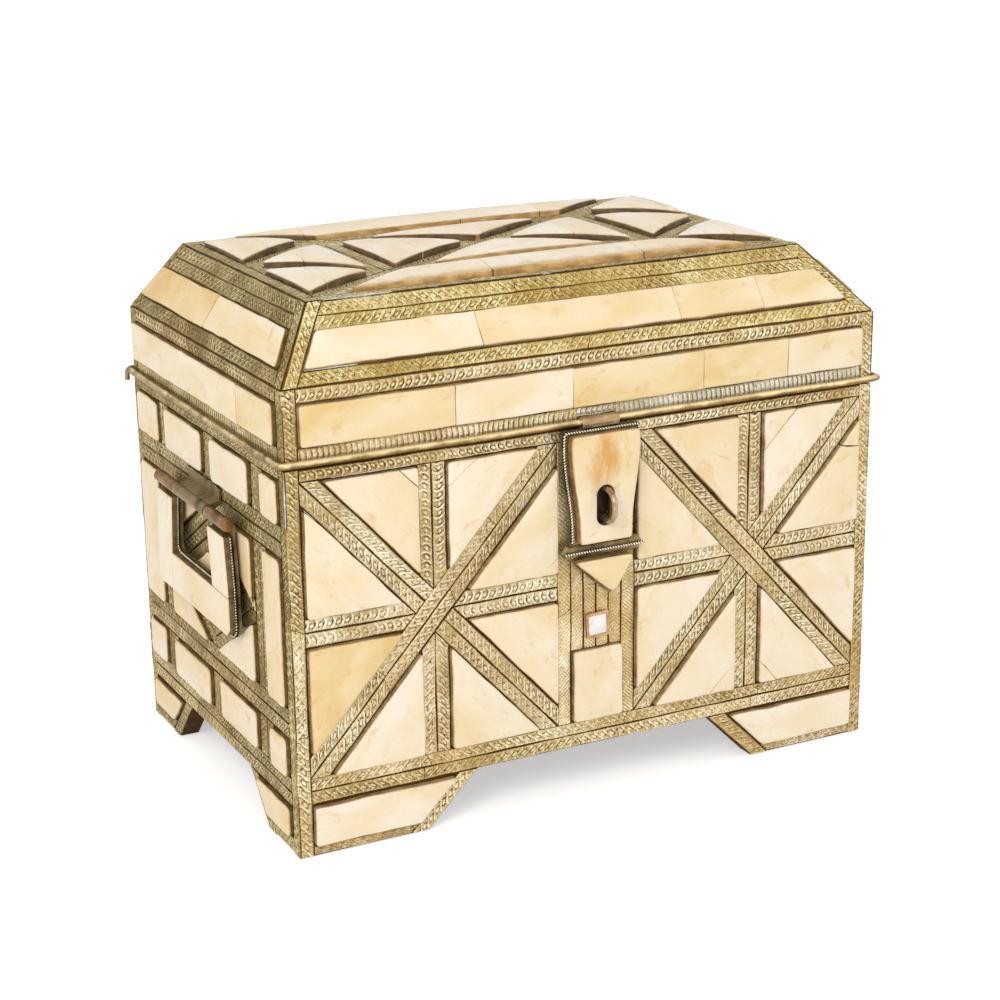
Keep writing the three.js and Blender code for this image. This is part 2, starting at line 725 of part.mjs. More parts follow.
function hingeLeafGeometry(ofLid) {
  const sign = ofLid ? 1 : -1;
  const shoulder = mouldingHeight + sign * (hinge.radius + seatGap);
  const toothEnd = mouldingHeight - sign * hingeLeaf.overlap;
  const edge = ofLid
    ? lidBottom + lidWallStrips.bottom - hingeLeaf.margin
    : baseTop - topStrip + hingeLeaf.margin;
  const start = -hingeLength / 2;
  const bore = boreCircle(hinge.pinRadius + hinge.clearance, 12);
  const past = hingeLeaf.endGap + hingeLeaf.shoulder;
  const comb = [];
  const knuckles = [];
  for (let i = 0; i < hinge.knuckles; i += 1) {
    const from = start + i * knucklePitch + hingeLeaf.endGap / 2;
    const to = start + (i + 1) * knucklePitch - hingeLeaf.endGap / 2;
    if (i % 2 === (ofLid ? 1 : 0)) {
      comb.push([from + hingeLeaf.shoulder, toothEnd], [to - hingeLeaf.shoulder, toothEnd]);
      knuckles.push(barAcross(circle(hinge.radius, 12), from, to, mouldingHeight, hingeOut));
    } else {
      comb.push([from - (i > 0 ? past : 0), shoulder], [to + (i < hinge.knuckles - 1 ? past : 0), shoulder]);
    }
  }
  const last = comb.length - 1;
  const outline = [...comb, [comb[last][0], edge], [comb[0][0], edge]];
  const leaf = plate(ofLid ? outline : outline.reverse(), [], seatGap, seatGap + hingeLeaf.thickness);
  return joined([leaf, ...knuckles], [barAcross(bore, start - past, -start + past, mouldingHeight, hingeOut)]);
}

function hingePinPoints() {
  const end = hingeLength / 2 + hingePinEnd.past;
  const { bend, tail } = hingePinEnd;
  const at = (u, up) => new THREE.Vector3(u, mouldingHeight + up, hingeOut);
  return [
    at(-end - bend, -bend - tail),
    ...arc(at(-end, -bend), bend, X, Y, 180, 90, 4),
    ...arc(at(end, -bend), bend, X, Y, 90, 0, 4),
    at(end + bend, -bend - tail),
  ];
}
piece(baseWalls.back.group, 'hinge_leaf_base', hingeLeafGeometry(false), agedBrass);
piece(baseWalls.back.group, 'hinge_pin', tube(hingePinPoints(), hinge.pinRadius, 8), goldenBrass);
piece(lidWalls.back.group, 'hinge_leaf_lid', hingeLeafGeometry(true), agedBrass);

// Hasp, hanging from the moulding
const haspGroup = sideFace(lid, 'front').group;
const haspCurve = new THREE.SplineCurve(haspProfile.map(([u, drop]) => new THREE.Vector2(u, mouldingHeight - drop)));
const haspEdge = (margin) => haspCurve.getPoints(8).map(({ x, y }) => [x + margin, y]);

function haspOutline(margin, low, high) {
  const right = haspEdge(margin);
  right[0][1] = low;
  right[right.length - 1][1] = high;
  return [...right, ...mirrored(right)];
}

function slotOutline() {
  const { slotHalf } = hasp;
  const { slotLow, slotHigh } = haspAt;
  const top = circle(slotHalf, 12).slice(0, 7).map(([u, v]) => [u, slotHigh - slotHalf + v]);
  const bottom = circle(slotHalf, 12).slice(6).map(([u, v]) => [u, slotLow + slotHalf + v]);
  return [...top, ...bottom, [slotHalf, slotLow + slotHalf]];
}

function haspPlate() {
  const [back, front] = [hasp.out, hasp.out + hasp.plate];
  const { barBottom, barTop, tipBottom, top } = haspAt;
  const upper = plate(haspOutline(hasp.margin, barBottom, top), [], back, front);
  const ears = [
    [-hasp.barHalf, barBottom], [hasp.barHalf, barBottom], [hasp.earHalf, (barBottom + barTop) / 2],
    [hasp.barHalf, barTop], [-hasp.barHalf, barTop], [-hasp.earHalf, (barBottom + barTop) / 2],
  ];
  const bar = loft([
    { outline: ears, out: back },
    { outline: ears, out: front },
    { outline: inset(ears, hasp.barBevel), out: front + hasp.barRise },
  ]);
  const tip = plate([[-hasp.tipHalf, barBottom + 1], [0, tipBottom], [hasp.tipHalf, barBottom + 1]], [], back, front);
  const tabHalf = hasp.knuckleLength / 2;
  const tab = plate(rectangle(-tabHalf, top - 1, tabHalf, mouldingHeight), [], back, front);
  const knuckle = barAcross(circle(hasp.knuckleRadius, 12), -tabHalf, tabHalf, mouldingHeight, moulding.out);
  const bore = boreCircle(moulding.radius + hasp.clearance, 12);
  return joined([upper, bar, tip, tab, knuckle], [
    barAcross(bore, -bodyWidth, bodyWidth, mouldingHeight, moulding.out),
    plate(slotOutline(), [], 0, 2 * front),
  ]);
}

const haspFront = hasp.out + hasp.plate + seatGap;
piece(haspGroup, 'hasp_plate', haspPlate(), agedBrass);
piece(haspGroup, 'hasp_bone',
  plate(haspOutline(0, haspAt.boneBottom, haspAt.boneTop), [slotOutline()], haspFront, haspFront + hasp.bone), bone);

const tipTriangle = [[-hasp.tipHalf, haspAt.tipTop], [0, haspAt.tipBottom], [hasp.tipHalf, haspAt.tipTop]];
const tipEdge = inset(tipTriangle, [hasp.tipMargin, hasp.tipMargin, 0]);
const tipRim = softened(tipEdge, frontCorner);
piece(haspGroup, 'hasp_tip_bone', loft([
  { outline: tipRim, out: haspFront },
  { outline: tipRim, out: haspFront + hasp.bone - plaqueBevel },
  { outline: softened(inset(tipEdge, plaqueBevel), frontCorner), out: haspFront + hasp.bone },
]), bone);

function haspRimPoints() {
  const margin = seatGap + hasp.wire;
  const out = haspFront + hasp.wire;
  const edge = haspEdge(margin);
  const topCorner = edge[edge.length - 1][0];
  edge[0][1] = haspAt.barTop + seatGap;
  edge[edge.length - 1][1] = haspAt.boneTop + margin - hasp.cornerReach;
  const middle = hasp.cornerReach / 4;
  const side = [...edge, [topCorner - middle, haspAt.boneTop + margin - middle],
    [topCorner - hasp.cornerReach, haspAt.boneTop + margin]];
  return [...side, ...mirrored(side)].map(([u, v]) => new THREE.Vector3(u, v, out));
}
piece(haspGroup, 'hasp_rim_wire', tube(haspRimPoints(), hasp.wire, 6), tarnishedWire);
piece(haspGroup, 'hasp_bar_wire',
  barAcross(circle(hasp.wire, 6), hasp.wire - hasp.earHalf, hasp.earHalf - hasp.wire,
    (haspAt.barTop + haspAt.barBottom) / 2, haspFront + hasp.barRise + hasp.wire), tarnishedWire);

// Bail handles, alike on both sides
function bailOutline(margin, top) {
  const { outerHalf, topHalf, innerTopHalf, innerHalf, cornerReach, innerCorner } = bail;
  const [bottom, barTop] = [rodHeight - bail.bottom + margin, rodHeight - bail.barTop - margin];
  const right = [
    [outerHalf - margin - cornerReach, bottom],
    [outerHalf - margin, bottom + cornerReach],
    [outerHalf - margin, (bottom + top) / 2],
    [topHalf - margin, top],
    [innerTopHalf + margin, top],
    [innerHalf + margin, barTop + innerCorner],
    [innerHalf + margin - innerCorner, barTop],
  ];
  return [...right, ...mirrored(right)];
}

function bailPlate() {
  const [back, front] = [bail.out, bail.out + bail.plate];
  const top = rodHeight - bail.boneTop + bail.plateLap;
  const parts = [plate(bailOutline(0, top), [], back, front)];
  for (const side of [-1, 1]) {
    const [from, to] = [strap.half + strap.sideGap, bail.topHalf].map((u) => u * side).sort((a, b) => a - b);
    parts.push(barAcross(circle(bail.knuckleRadius, 12), from, to, rodHeight, bail.rodOut));
    parts.push(plate(rectangle(from, top - 2 * bail.plateLap, to, rodHeight), [], back, front));
  }
  const bore = boreCircle(bail.rodRadius + bail.clearance, 12);
  return joined(parts, [barAcross(bore, -bodyDepth, bodyDepth, rodHeight, bail.rodOut)]);
}

// Fixed strap: a sheet bent off the wall and rolled round the rod, drawn edge on
function strapGeometry() {
  const top = highRow.low - strap.topMargin;
  const flange = [
    [seatGap, rodHeight + strap.root],
    [bail.rodOut - bail.knuckleRadius + strap.lap, rodHeight],
    [bail.rodOut, rodHeight + bail.knuckleRadius - strap.lap],
    [seatGap + strap.sheet, rodHeight + strap.bend],
    [seatGap + strap.sheet, top], [seatGap, top],
  ];
  const edgeOn = (outline, reach) => plate(outline, [], -reach, reach).rotateY(-Math.PI / 2);
  const roundRod = (outline) => outline.map(([out, up]) => [bail.rodOut + out, rodHeight + up]);
  const rolled = edgeOn(roundRod(circle(bail.knuckleRadius, 12)), strap.half);
  const bore = edgeOn(roundRod(boreCircle(bail.rodRadius + bail.clearance, 12)), bodyDepth);
  return joined([edgeOn(flange, strap.half), rolled], [bore]);
}

for (const name of ['left', 'right']) {
  const fixed = baseWalls[name].group;
  const swinging = sideFace(base, name).group;
  const boneBack = bail.out + bail.plate + seatGap;
  const boneTop = rodHeight - bail.boneTop;
  piece(fixed, `handle_${name}_strap`, strapGeometry(), agedBrass);
  piece(fixed, `handle_${name}_rod`,
    barAcross(circle(bail.rodRadius, 10), -bail.topHalf, bail.topHalf, rodHeight, bail.rodOut), goldenBrass);
  piece(swinging, `handle_${name}_bail`, bailPlate(), agedBrass);
  piece(swinging, `handle_${name}_bone`,
    plate(bailOutline(bail.boneMargin, boneTop), [], boneBack, boneBack + bail.bone), bone);
}

// The outer box reaches further forward, to the staple, than back, to the hinge
const frontReach = staple.reach + staple.legSpread + staple.wire;
const backReach = hingeOut + hinge.radius;
chest.position.y = (frontReach - backReach) / 2;

export default chest;
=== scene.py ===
# Dowry chest: bone plaques and embossed brass strips on wooden boards
import math
from functools import partial
from itertools import cycle

import bpy
import numpy as np
from mathutils import Matrix, Vector


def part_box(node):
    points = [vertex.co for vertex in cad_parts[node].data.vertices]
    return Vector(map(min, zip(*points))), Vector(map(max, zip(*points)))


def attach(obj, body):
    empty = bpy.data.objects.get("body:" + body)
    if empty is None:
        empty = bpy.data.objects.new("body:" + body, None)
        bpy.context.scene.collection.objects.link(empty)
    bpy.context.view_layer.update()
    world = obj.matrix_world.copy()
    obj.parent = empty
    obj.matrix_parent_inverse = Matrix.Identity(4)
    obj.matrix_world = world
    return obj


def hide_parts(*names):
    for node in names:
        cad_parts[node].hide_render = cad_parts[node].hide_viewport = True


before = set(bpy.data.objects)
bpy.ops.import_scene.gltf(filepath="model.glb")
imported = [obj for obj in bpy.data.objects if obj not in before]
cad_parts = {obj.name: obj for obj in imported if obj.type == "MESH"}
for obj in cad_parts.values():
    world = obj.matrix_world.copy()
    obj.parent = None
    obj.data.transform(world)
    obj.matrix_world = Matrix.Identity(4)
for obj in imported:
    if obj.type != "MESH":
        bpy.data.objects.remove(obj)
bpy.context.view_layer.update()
rng = np.random.default_rng(41)
bpy.context.scene.view_settings.view_transform = "Standard"

# Everything below is in millimetres, and turns to metres where a mesh is made
body = {
    "width": 400.0, "depth": 260.0, "baseTop": 237.5, "lidWallTop": 284.2, "plateau": 326.0,
    "baseBoard": 12.0, "lidBoard": 9.0, "skin": 1.5, "mitreGap": 0.15, "lidBottom": 237.8,
    "inset": {"front": 29.0, "right": 38.0, "back": 24.0, "left": 29.0},
}
halfW, halfD = body["width"] / 2, body["depth"] / 2
# The frame's origin is under the middle of the outer box
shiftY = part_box("front_strips")[0][1] * 1000 + halfD


def srgb(code, alpha=1.0):  # sRGB hex to linear
    parts = [int(code[i:i + 2], 16) / 255 for i in (1, 3, 5)]
    return [p / 12.92 if p <= 0.04045 else ((p + 0.055) / 1.055) ** 2.4 for p in parts] + [alpha]


# The sockets that a list of inputs goes to, if not simply the first ones, and the output that is used
inputOrder = {
    "TexNoise": ("Vector", "Scale", "Detail", "Roughness", "Distortion"),
    "MapRange": ("Value", "From Min", "From Max", "To Min", "To Max"),
    "Mapping": ("Vector", "Scale", "Location"), "Bump": ("Height", "Strength", "Distance"), "Mix": (0, 6, 7),
}
usualOutput = {"Mix": 2, "Attribute": "Fac", "TexCoord": "Object"}


# Adds a node and gives back its output. An input is another node's output, a number or a colour in hex.
# Stops are the (place, colour) pairs of a colour ramp
def addNode(tree, kind, inputs=(), stops=(), output=None, **settings):
    node = tree.nodes.new("ShaderNode" + kind)
    for key, value in settings.items():
        setattr(node, key, value)
    if not isinstance(inputs, dict):
        inputs = dict(zip(inputOrder.get(kind, range(len(inputs))), inputs))
    for socket, value in inputs.items():
        if isinstance(value, bpy.types.NodeSocket):
            tree.links.new(value, node.inputs[socket])
        else:
            node.inputs[socket].default_value = srgb(value) if isinstance(value, str) else value
    if stops:
        elements = node.color_ramp.elements
        while len(elements) < len(stops):
            elements.new(0.5)
        for element, (spot, code) in zip(elements, stops):
            element.position, element.color = spot, srgb(code)
    return node.outputs[output or usualOutput.get(kind, 0)] if node.outputs else None


def newMaterial(name):  # and the function that adds its nodes
    material = bpy.data.materials.new(name)
    material.use_nodes = True
    material.node_tree.nodes.clear()
    return material, partial(addNode, material.node_tree)


def newSurface():
    return {"points": [], "quads": [], "caps": [], "uv": [], "tone": [], "edge": [], "count": 0}


# A grid of points becomes quads. Rows may close on themselves (wrap), and so may the row of rings (loop).
# Closed rings may be capped at both ends
def addGrid(surface, grid, uv, tone=0.0, edge=0.0, wrap=False, caps=False, flip=False, loop=False):
    cols, rows = grid.shape[:2]
    index = surface["count"] + np.arange(cols * rows).reshape(cols, rows)
    ring = np.concatenate([index, index[:, :1]], 1) if wrap else index
    ring = np.concatenate([ring, ring[:1]]) if loop else ring
    quads = np.stack([ring[:-1, :-1], ring[1:, :-1], ring[1:, 1:], ring[:-1, 1:]], -1).reshape(-1, 4)
    surface["quads"].append(quads[:, ::-1] if flip else quads)
    if caps:
        first, last = index[0], index[-1][::-1]
        surface["caps"] += [first[::-1], last[::-1]] if flip else [first, last]
    surface["points"].append(grid.reshape(-1, 3))
    surface["uv"].append(np.broadcast_to(uv, (cols, rows, 2)).reshape(-1, 2))
    surface["tone"].append(np.full(cols * rows, tone))
    surface["edge"].append(np.broadcast_to(edge, (cols, rows)).ravel())
    surface["count"] += cols * rows


def makePiece(name, surface, bodyName, material, replaced=(), smoothAngle=40):
    quads = np.concatenate(surface["quads"]).astype(np.int32)
    totals = np.full(len(quads), 4, np.int32)
    loops = quads.ravel()
    if surface["caps"]:
        totals = np.concatenate([totals, [len(cap) for cap in surface["caps"]]]).astype(np.int32)
        loops = np.concatenate([loops, *surface["caps"]]).astype(np.int32)
    starts = (np.cumsum(totals) - totals).astype(np.int32)
    points = (np.concatenate(surface["points"]) / 1000).astype(np.float32)
    mesh = bpy.data.meshes.new(name)
    mesh.vertices.add(len(points))
    mesh.vertices.foreach_set("co", points.ravel())
    mesh.loops.add(len(loops))
    mesh.loops.foreach_set("vertex_index", loops)
    mesh.polygons.add(len(totals))
    mesh.polygons.foreach_set("loop_start", starts)
    mesh.polygons.foreach_set("loop_total", totals)
    mesh.update(calc_edges=True)
    mesh.uv_layers.new(name="grain").data.foreach_set(
        "uv", np.concatenate(surface["uv"])[loops].astype(np.float32).ravel())
    for key in ("tone", "edge"):
        values = np.concatenate(surface[key]).astype(np.float32)
        mesh.attributes.new(key, "FLOAT", "POINT").data.foreach_set("value", values)
    mesh.polygons.foreach_set("use_smooth", np.ones(len(totals), bool))
    mesh.set_sharp_from_angle(angle=math.radians(smoothAngle))
    mesh.materials.append(material)
    piece = bpy.data.objects.new(name, mesh)
    bpy.context.scene.collection.objects.link(piece)
    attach(piece, bodyName)
    if replaced:
        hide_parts(*replaced)
    print(f"made {name}: {len(totals)} faces")


# A flat face of the chest: its origin, and unit vectors across, up and out
def faceFrame(origin, across, up):
    origin, across, up = (np.array(v, float) for v in (origin, across, up))
    up = up / np.linalg.norm(up)
    return {"origin": origin + [0, shiftY, 0], "across": across, "up": up, "out": np.cross(across, up)}


def place(face, across, up, out):  # face coordinates to the frame
    across, up, out = np.broadcast_arrays(across, up, out)
    return (face["origin"] + across[..., None] * face["across"] + up[..., None] * face["up"]
            + out[..., None] * face["out"])


sideNames = ["front", "right", "back", "left"]
sideOrigin = {"front": (0, -halfD, 0), "right": (halfW, 0, 0), "back": (0, halfD, 0), "left": (-halfW, 0, 0)}
sideAcross = {"front": (1, 0, 0), "right": (0, 1, 0), "back": (-1, 0, 0), "left": (0, -1, 0)}
walls = {name: faceFrame(sideOrigin[name], sideAcross[name], (0, 0, 1)) for name in sideNames}
slopes = {}
for name in sideNames:
    inward = np.cross((0, 0, 1), sideAcross[name])
    up = inward * body["inset"][name] + np.array([0, 0, body["plateau"] - body["lidWallTop"]])
    slopes[name] = faceFrame(np.array(sideOrigin[name]) + [0, 0, body["lidWallTop"]], sideAcross[name], up)
inset = body["inset"]
plateauMiddle = [(inset["left"] - inset["right"]) / 2, (inset["front"] - inset["back"]) / 2, body["plateau"]]
plateau = faceFrame(plateauMiddle, (1, 0, 0), (0, 1, 0))


# Where another face, sunk as deep as this one, cuts it: a * across + b * up + c <= 0 on the inner side
def cutBy(here, other, depth):
    out = other["out"]
    start = out @ (here["origin"] - other["origin"]) + depth * (out @ here["out"] - 1)
    return np.array([out @ here["across"], out @ here["up"], start])


def outlineOf(lines):  # corners between neighbouring lines, the first one at the lower left
    corners = []
    for line, last in zip(lines, [lines[-1]] + list(lines[:-1])):
        det = last[0] * line[1] - last[1] * line[0]
        corners.append([(line[2] * last[1] - last[2] * line[1]) / det,
                        (last[2] * line[0] - line[2] * last[0]) / det])
    return np.array(corners)


def rectangle(u0, v0, u1, v1):
    return np.array([[u0, v0], [u1, v0], [u1, v1], [u0, v1]], float)


def mirrored(outline):
    return (np.array(outline) * [-1, 1])[::-1]


def sidesOf(corners, *spare):  # the edges of an outline, as lines
    return [(corners[i], corners[(i + 1) % len(corners)], *spare) for i in range(len(corners))]


def alongAndLeft(p, q):  # unit vectors from p to q, and to the left of that
    along = np.subtract(q, p) / np.hypot(*np.subtract(q, p))
    return along, np.array([-along[1], along[0]])


def leftOf(points, p, q):  # how far points lie to the left of the line from p to q
    along, _ = alongAndLeft(p, q)
    return along[0] * (points[..., 1] - p[1]) - along[1] * (points[..., 0] - p[0])


# Part of a convex outline to the left of a line, at some distance from it
def keepLeft(outline, start, end, clearance=0.0):
    side = leftOf(outline, start, end) - clearance
    kept = []
    for i, (p, here) in enumerate(zip(outline, side)):
        q, there = outline[(i + 1) % len(outline)], side[(i + 1) % len(outline)]
        if here >= 0:
            kept.append(p)
        if here * there < 0:
            kept.append(p + (q - p) * here / (here - there))
    return np.array(kept)


# Every edge of an outline moves inwards by its own width
def insetOutline(corners, widths):
    run = np.roll(corners, -1, 0) - corners
    length = np.hypot(run[:, 0], run[:, 1])
    normal = np.stack([-run[:, 1], run[:, 0]], 1) / length[:, None]
    reach = (normal * corners).sum(1) + widths
    before, reachBefore = np.roll(normal, 1, 0), np.roll(reach, 1)
    det = before[:, 0] * normal[:, 1] - before[:, 1] * normal[:, 0]
    return np.stack([reachBefore * normal[:, 1] - reach * before[:, 1],
                     before[:, 0] * reach - normal[:, 0] * reachBefore], 1) / det[:, None]


bone = {
    "rise": 3.2, "riseSpread": 0.35, "riseDrop": 0.2, "bevel": 1.2, "root": 1.35, "spacing": 3.0, "gap": 0.5,
    "wobble": 0.22, "cornerWobble": 0.25, "arcSteps": 3, "jointShare": 0.12, "toneSpread": 0.06,
    "saw": 0.17, "thinnest": 1.0, "shortest": 0.3, "longestCurve": 0.4,
}


# Corners become short curves and edges get a fixed number of points, so that all rings of a plaque match
def roundLoop(corners, reach, counts):
    steps = np.linspace(0, 1, bone["arcSteps"] + 1)[:, None]
    before, after = np.roll(corners, 1, 0), np.roll(corners, -1, 0)
    toBefore = np.minimum(reach / np.hypot(*(before - corners).T), bone["longestCurve"])[:, None]
    toAfter = np.minimum(reach / np.hypot(*(after - corners).T), bone["longestCurve"])[:, None]
    start, end = corners + (before - corners) * toBefore, corners + (after - corners) * toAfter
    loop = []
    for i, corner in enumerate(corners):
        loop.append((1 - steps) ** 2 * start[i] + 2 * steps * (1 - steps) * corner + steps ** 2 * end[i])
        share = np.linspace(0, 1, counts[i] + 2)[1:-1, None]
        loop.append(end[i] + (start[(i + 1) % len(corners)] - end[i]) * share)
    return np.concatenate(loop)


# A plaque: rings from its root up its side, round its shoulder and across its slightly crowned top.
# Joint edges, where two bones meet, keep almost no shoulder. A dome makes the whole outline bulge.
# The edge value tells the material how far a point is from the root (-1) towards the top (1)
def addPlaque(surface, face, corners, jointEdges=(), reach=2.2, rise=None, crown=0.3, bevel=None, base=None,
              dome=None, rough=1.0, tone=None, frontShare=1.0, worn=0.0):
    bevel = bevel or bone["bevel"]
    rise = (rise or bone["rise"]) + (rng.uniform(-1, 1) * bone["riseSpread"] - bone["riseDrop"]) * rough
    base = -bone["root"] if base is None else base
    share = np.ones(len(corners))
    share[list(jointEdges)] = bone["jointShare"]
    across = np.roll(corners, -1, 0) - corners
    share[across[:, 0] > 8 * np.abs(across[:, 1])] *= frontShare
    off = rng.uniform(-bone["cornerWobble"], bone["cornerWobble"], corners.shape)
    corners = corners + off * (0 if len(jointEdges) else rough)
    run = np.roll(corners, -1, 0) - corners
    length = np.hypot(run[:, 0], run[:, 1])
    turn = np.array([np.arctan2(a[0] * b[1] - a[1] * b[0], a @ b) for a, b in zip(np.roll(run, 1, 0), run)])
    after = np.roll(turn, -1)
    pace = ((np.roll(share, 1) - share * np.cos(turn)) / np.sin(turn)  # how fast an edge shortens
            + (np.roll(share, -1) - share * np.cos(after)) / np.sin(after))
    deepest = (length / np.maximum(pace, 1e-6)).min()
    bevel = min(bevel, 0.3 * deepest)
    besideJoint = np.minimum(share, np.roll(share, 1)) < 1
    counts = np.maximum((length / bone["spacing"]).astype(int), 2)
    bends = np.radians([0, 25, 50, 72, 90])
    onTop = [min(2.2 * bevel, 0.45 * deepest), 0.6 * deepest, 0.9 * deepest]
    depths = [0, 0, *(bevel * (1 - np.cos(bends))), *onTop]
    shoulder = rise - bevel
    heights = [base, min(1.0, 0.5 * shoulder) if base < 0 else base + 0.6 * (shoulder - base),
               *(rise - bevel * (1 - np.sin(bends))), rise + 0.3 * crown, rise + 0.8 * crown, rise + crown]
    edges = [-1.0, -0.8, -0.42, -0.1, 0.14, 0.32, 0.45, 0.75, 1.0, 1.0]
    wobble = None
    rings = []
    for depth in depths:
        curve = np.where(besideJoint, 0.4, max(reach - 0.5 * depth, 0.7))
        ring = roundLoop(insetOutline(corners, depth * share), curve, counts)
        if wobble is None:
            knots = rng.normal(0, bone["wobble"] * rough, len(ring) // 4 + 2)
            wobble = np.interp(np.linspace(0, len(knots) - 1, len(ring)), np.arange(len(knots)), knots)
            wobble *= np.minimum(1, np.minimum(np.arange(len(ring)), np.arange(len(ring))[::-1]) / 4)
            tangent = np.roll(ring, -1, 0) - np.roll(ring, 1, 0)
            outward = np.stack([tangent[:, 1], -tangent[:, 0]], 1) / np.hypot(*tangent.T)[:, None]
        rings.append(ring + outward * (wobble * max(0.0, 1 - depth / 4))[:, None])
    rings = np.array(rings)
    long = run[np.argmax(length)] / length.max()
    grain = np.stack([rings @ long, rings @ [-long[1], long[0]]], -1) / 1000 + rng.uniform(-9, 9, 2)
    out = np.array(heights)[:, None] + 0 * rings[..., 0]
    if dome is not None:  # less height the further from the middle of the whole plaque
        out[1:] -= dome["drop"] * (((rings[1:] - dome["middle"]) / dome["half"]) ** 2 @ dome["weight"])
        out = np.maximum(out, base + 0.05 * np.arange(len(out))[:, None])
    edge = np.repeat(np.maximum(np.array(edges) - worn, -1)[:, None], rings.shape[1], 1)
    tone = rng.uniform(-1, 1) if tone is None else tone + rng.uniform(-bone["toneSpread"], bone["toneSpread"])
    addGrid(surface, place(face, rings[..., 0], rings[..., 1], out), grain, tone, edge,
            wrap=True, caps=True, flip=True)


# Cuts an outline along lines, as bone comes in short lengths, and says which edges are joints
def splitOutline(outline, lines):
    pieces = [outline]
    for a, b in lines:
        parts = [keepLeft(piece, *ends, bone["saw"]) for piece in pieces for ends in ((a, b), (b, a))]
        pieces = [part for part in parts if len(part) > 2 and np.ptp(part, axis=0).min() > bone["thinnest"]]
    result = []
    for piece in pieces:
        piece = piece[np.hypot(*(np.roll(piece, -1, 0) - piece).T) > bone["shortest"]]
        onLine = [np.abs(leftOf(piece, a, b)) < bone["saw"] + 0.02 for a, b in lines]
        joints = [i for i in range(len(piece)) if any(on[i] and on[i - len(on) + 1] for on in onLine)]
        result.append((piece, joints))
    return result


# Cells are outlines with their upright joints, by place, and their slanting cuts
def addBones(surface, face, cells, tones, **settings):
    for cell in cells:
        lines = [((x, 0), (x, 1)) for x in cell.get("joints", [])] + cell.get("cuts", [])
        for shape, joints in splitOutline(insetOutline(cell["outline"], bone["gap"]), lines):
            addPlaque(surface, face, shape, joints, tone=next(tones), **settings)


strip = {
    "gap": 0.55, "bed": 1.35, "top": -0.4, "relief": 0.9, "step": 0.6, "rows": 13, "longest": 150.0,
    "length": 105.0, "spare": 0.1, "cut": 0.2, "lean": 0.5, "pitting": 0.08, "narrow": 0.03, "warp": 0.07,
}
dies = {  # the length that repeats, its boss's size and distance off the middle, the groove's depth
    "scroll": {"pitch": 6.4, "boss": 1.1, "off": 0, "groove": 0.38},
    "arch": {"pitch": 5.2, "boss": 1.1, "off": 0.35, "groove": 0.38},
    "ladder": {"pitch": 3.5, "boss": 0.8, "off": 0, "groove": 0.0},
    "hatch": {"pitch": 2.5, "boss": 0.0, "off": 0, "groove": 0.2},
}


# Thin ribs cross the strip, S-shaped (scroll) or bowed (arch), with a groove beside each and a round boss in a
# ditch in each opening. A ladder has broad ribs cut apart, and a hatch fine slanting ones.
# A low bead runs along both edges
def dieRelief(die, along, across, half, pitch):
    field, size, depth = half - 1.0, dies[die]["boss"], dies[die]["groove"]
    level = np.clip(across / field, -1, 1)
    bend = {"scroll": 0.4 * np.sin(0.5 * np.pi * level), "arch": 0.3 * level ** 2 + 0.14 * level,
            "ladder": 0.22 * level ** 2, "hatch": 1.3 * level}[die]
    phase = (along / pitch - bend) % 1.0
    fromRib = np.minimum(phase, 1 - phase) * pitch
    toBoss = np.hypot((phase - 0.55) * pitch, across - dies[die]["off"])
    if die == "ladder":
        shape = (0.42 + 0.48 * (phase / 0.84) ** 2.0) * (1 - 0.9 * np.exp(-(fromRib / 0.43) ** 4))
    else:
        groove = np.exp(-((phase * pitch - 1.0) / 0.42) ** 2)
        shape = 0.42 + (0.2 + depth) * np.exp(-(fromRib / 0.5) ** 2) - depth * groove
    if size and die != "ladder":
        shape = shape - 0.3 * np.exp(-((toBoss - size - 0.5) / 0.42) ** 2)
    shape = np.clip(shape, 0, 1)
    if size:
        shape = np.maximum(shape, 0.97 * np.exp(-(toBoss / size) ** 4))
    inside = 1 / (1 + np.exp((np.abs(across) - field) * 4.5))
    bead = 0.55 * np.exp(-((np.abs(across) - (half - 0.5)) / 0.4) ** 2)
    return np.clip(shape * inside + bead, 0, 1)


def sway(along, start):  # hand-cut strips waver by a fifth of a millimetre
    return 0.13 * np.sin(along / 11 + 3 * start) + 0.08 * np.sin(along / 3.7 + start)


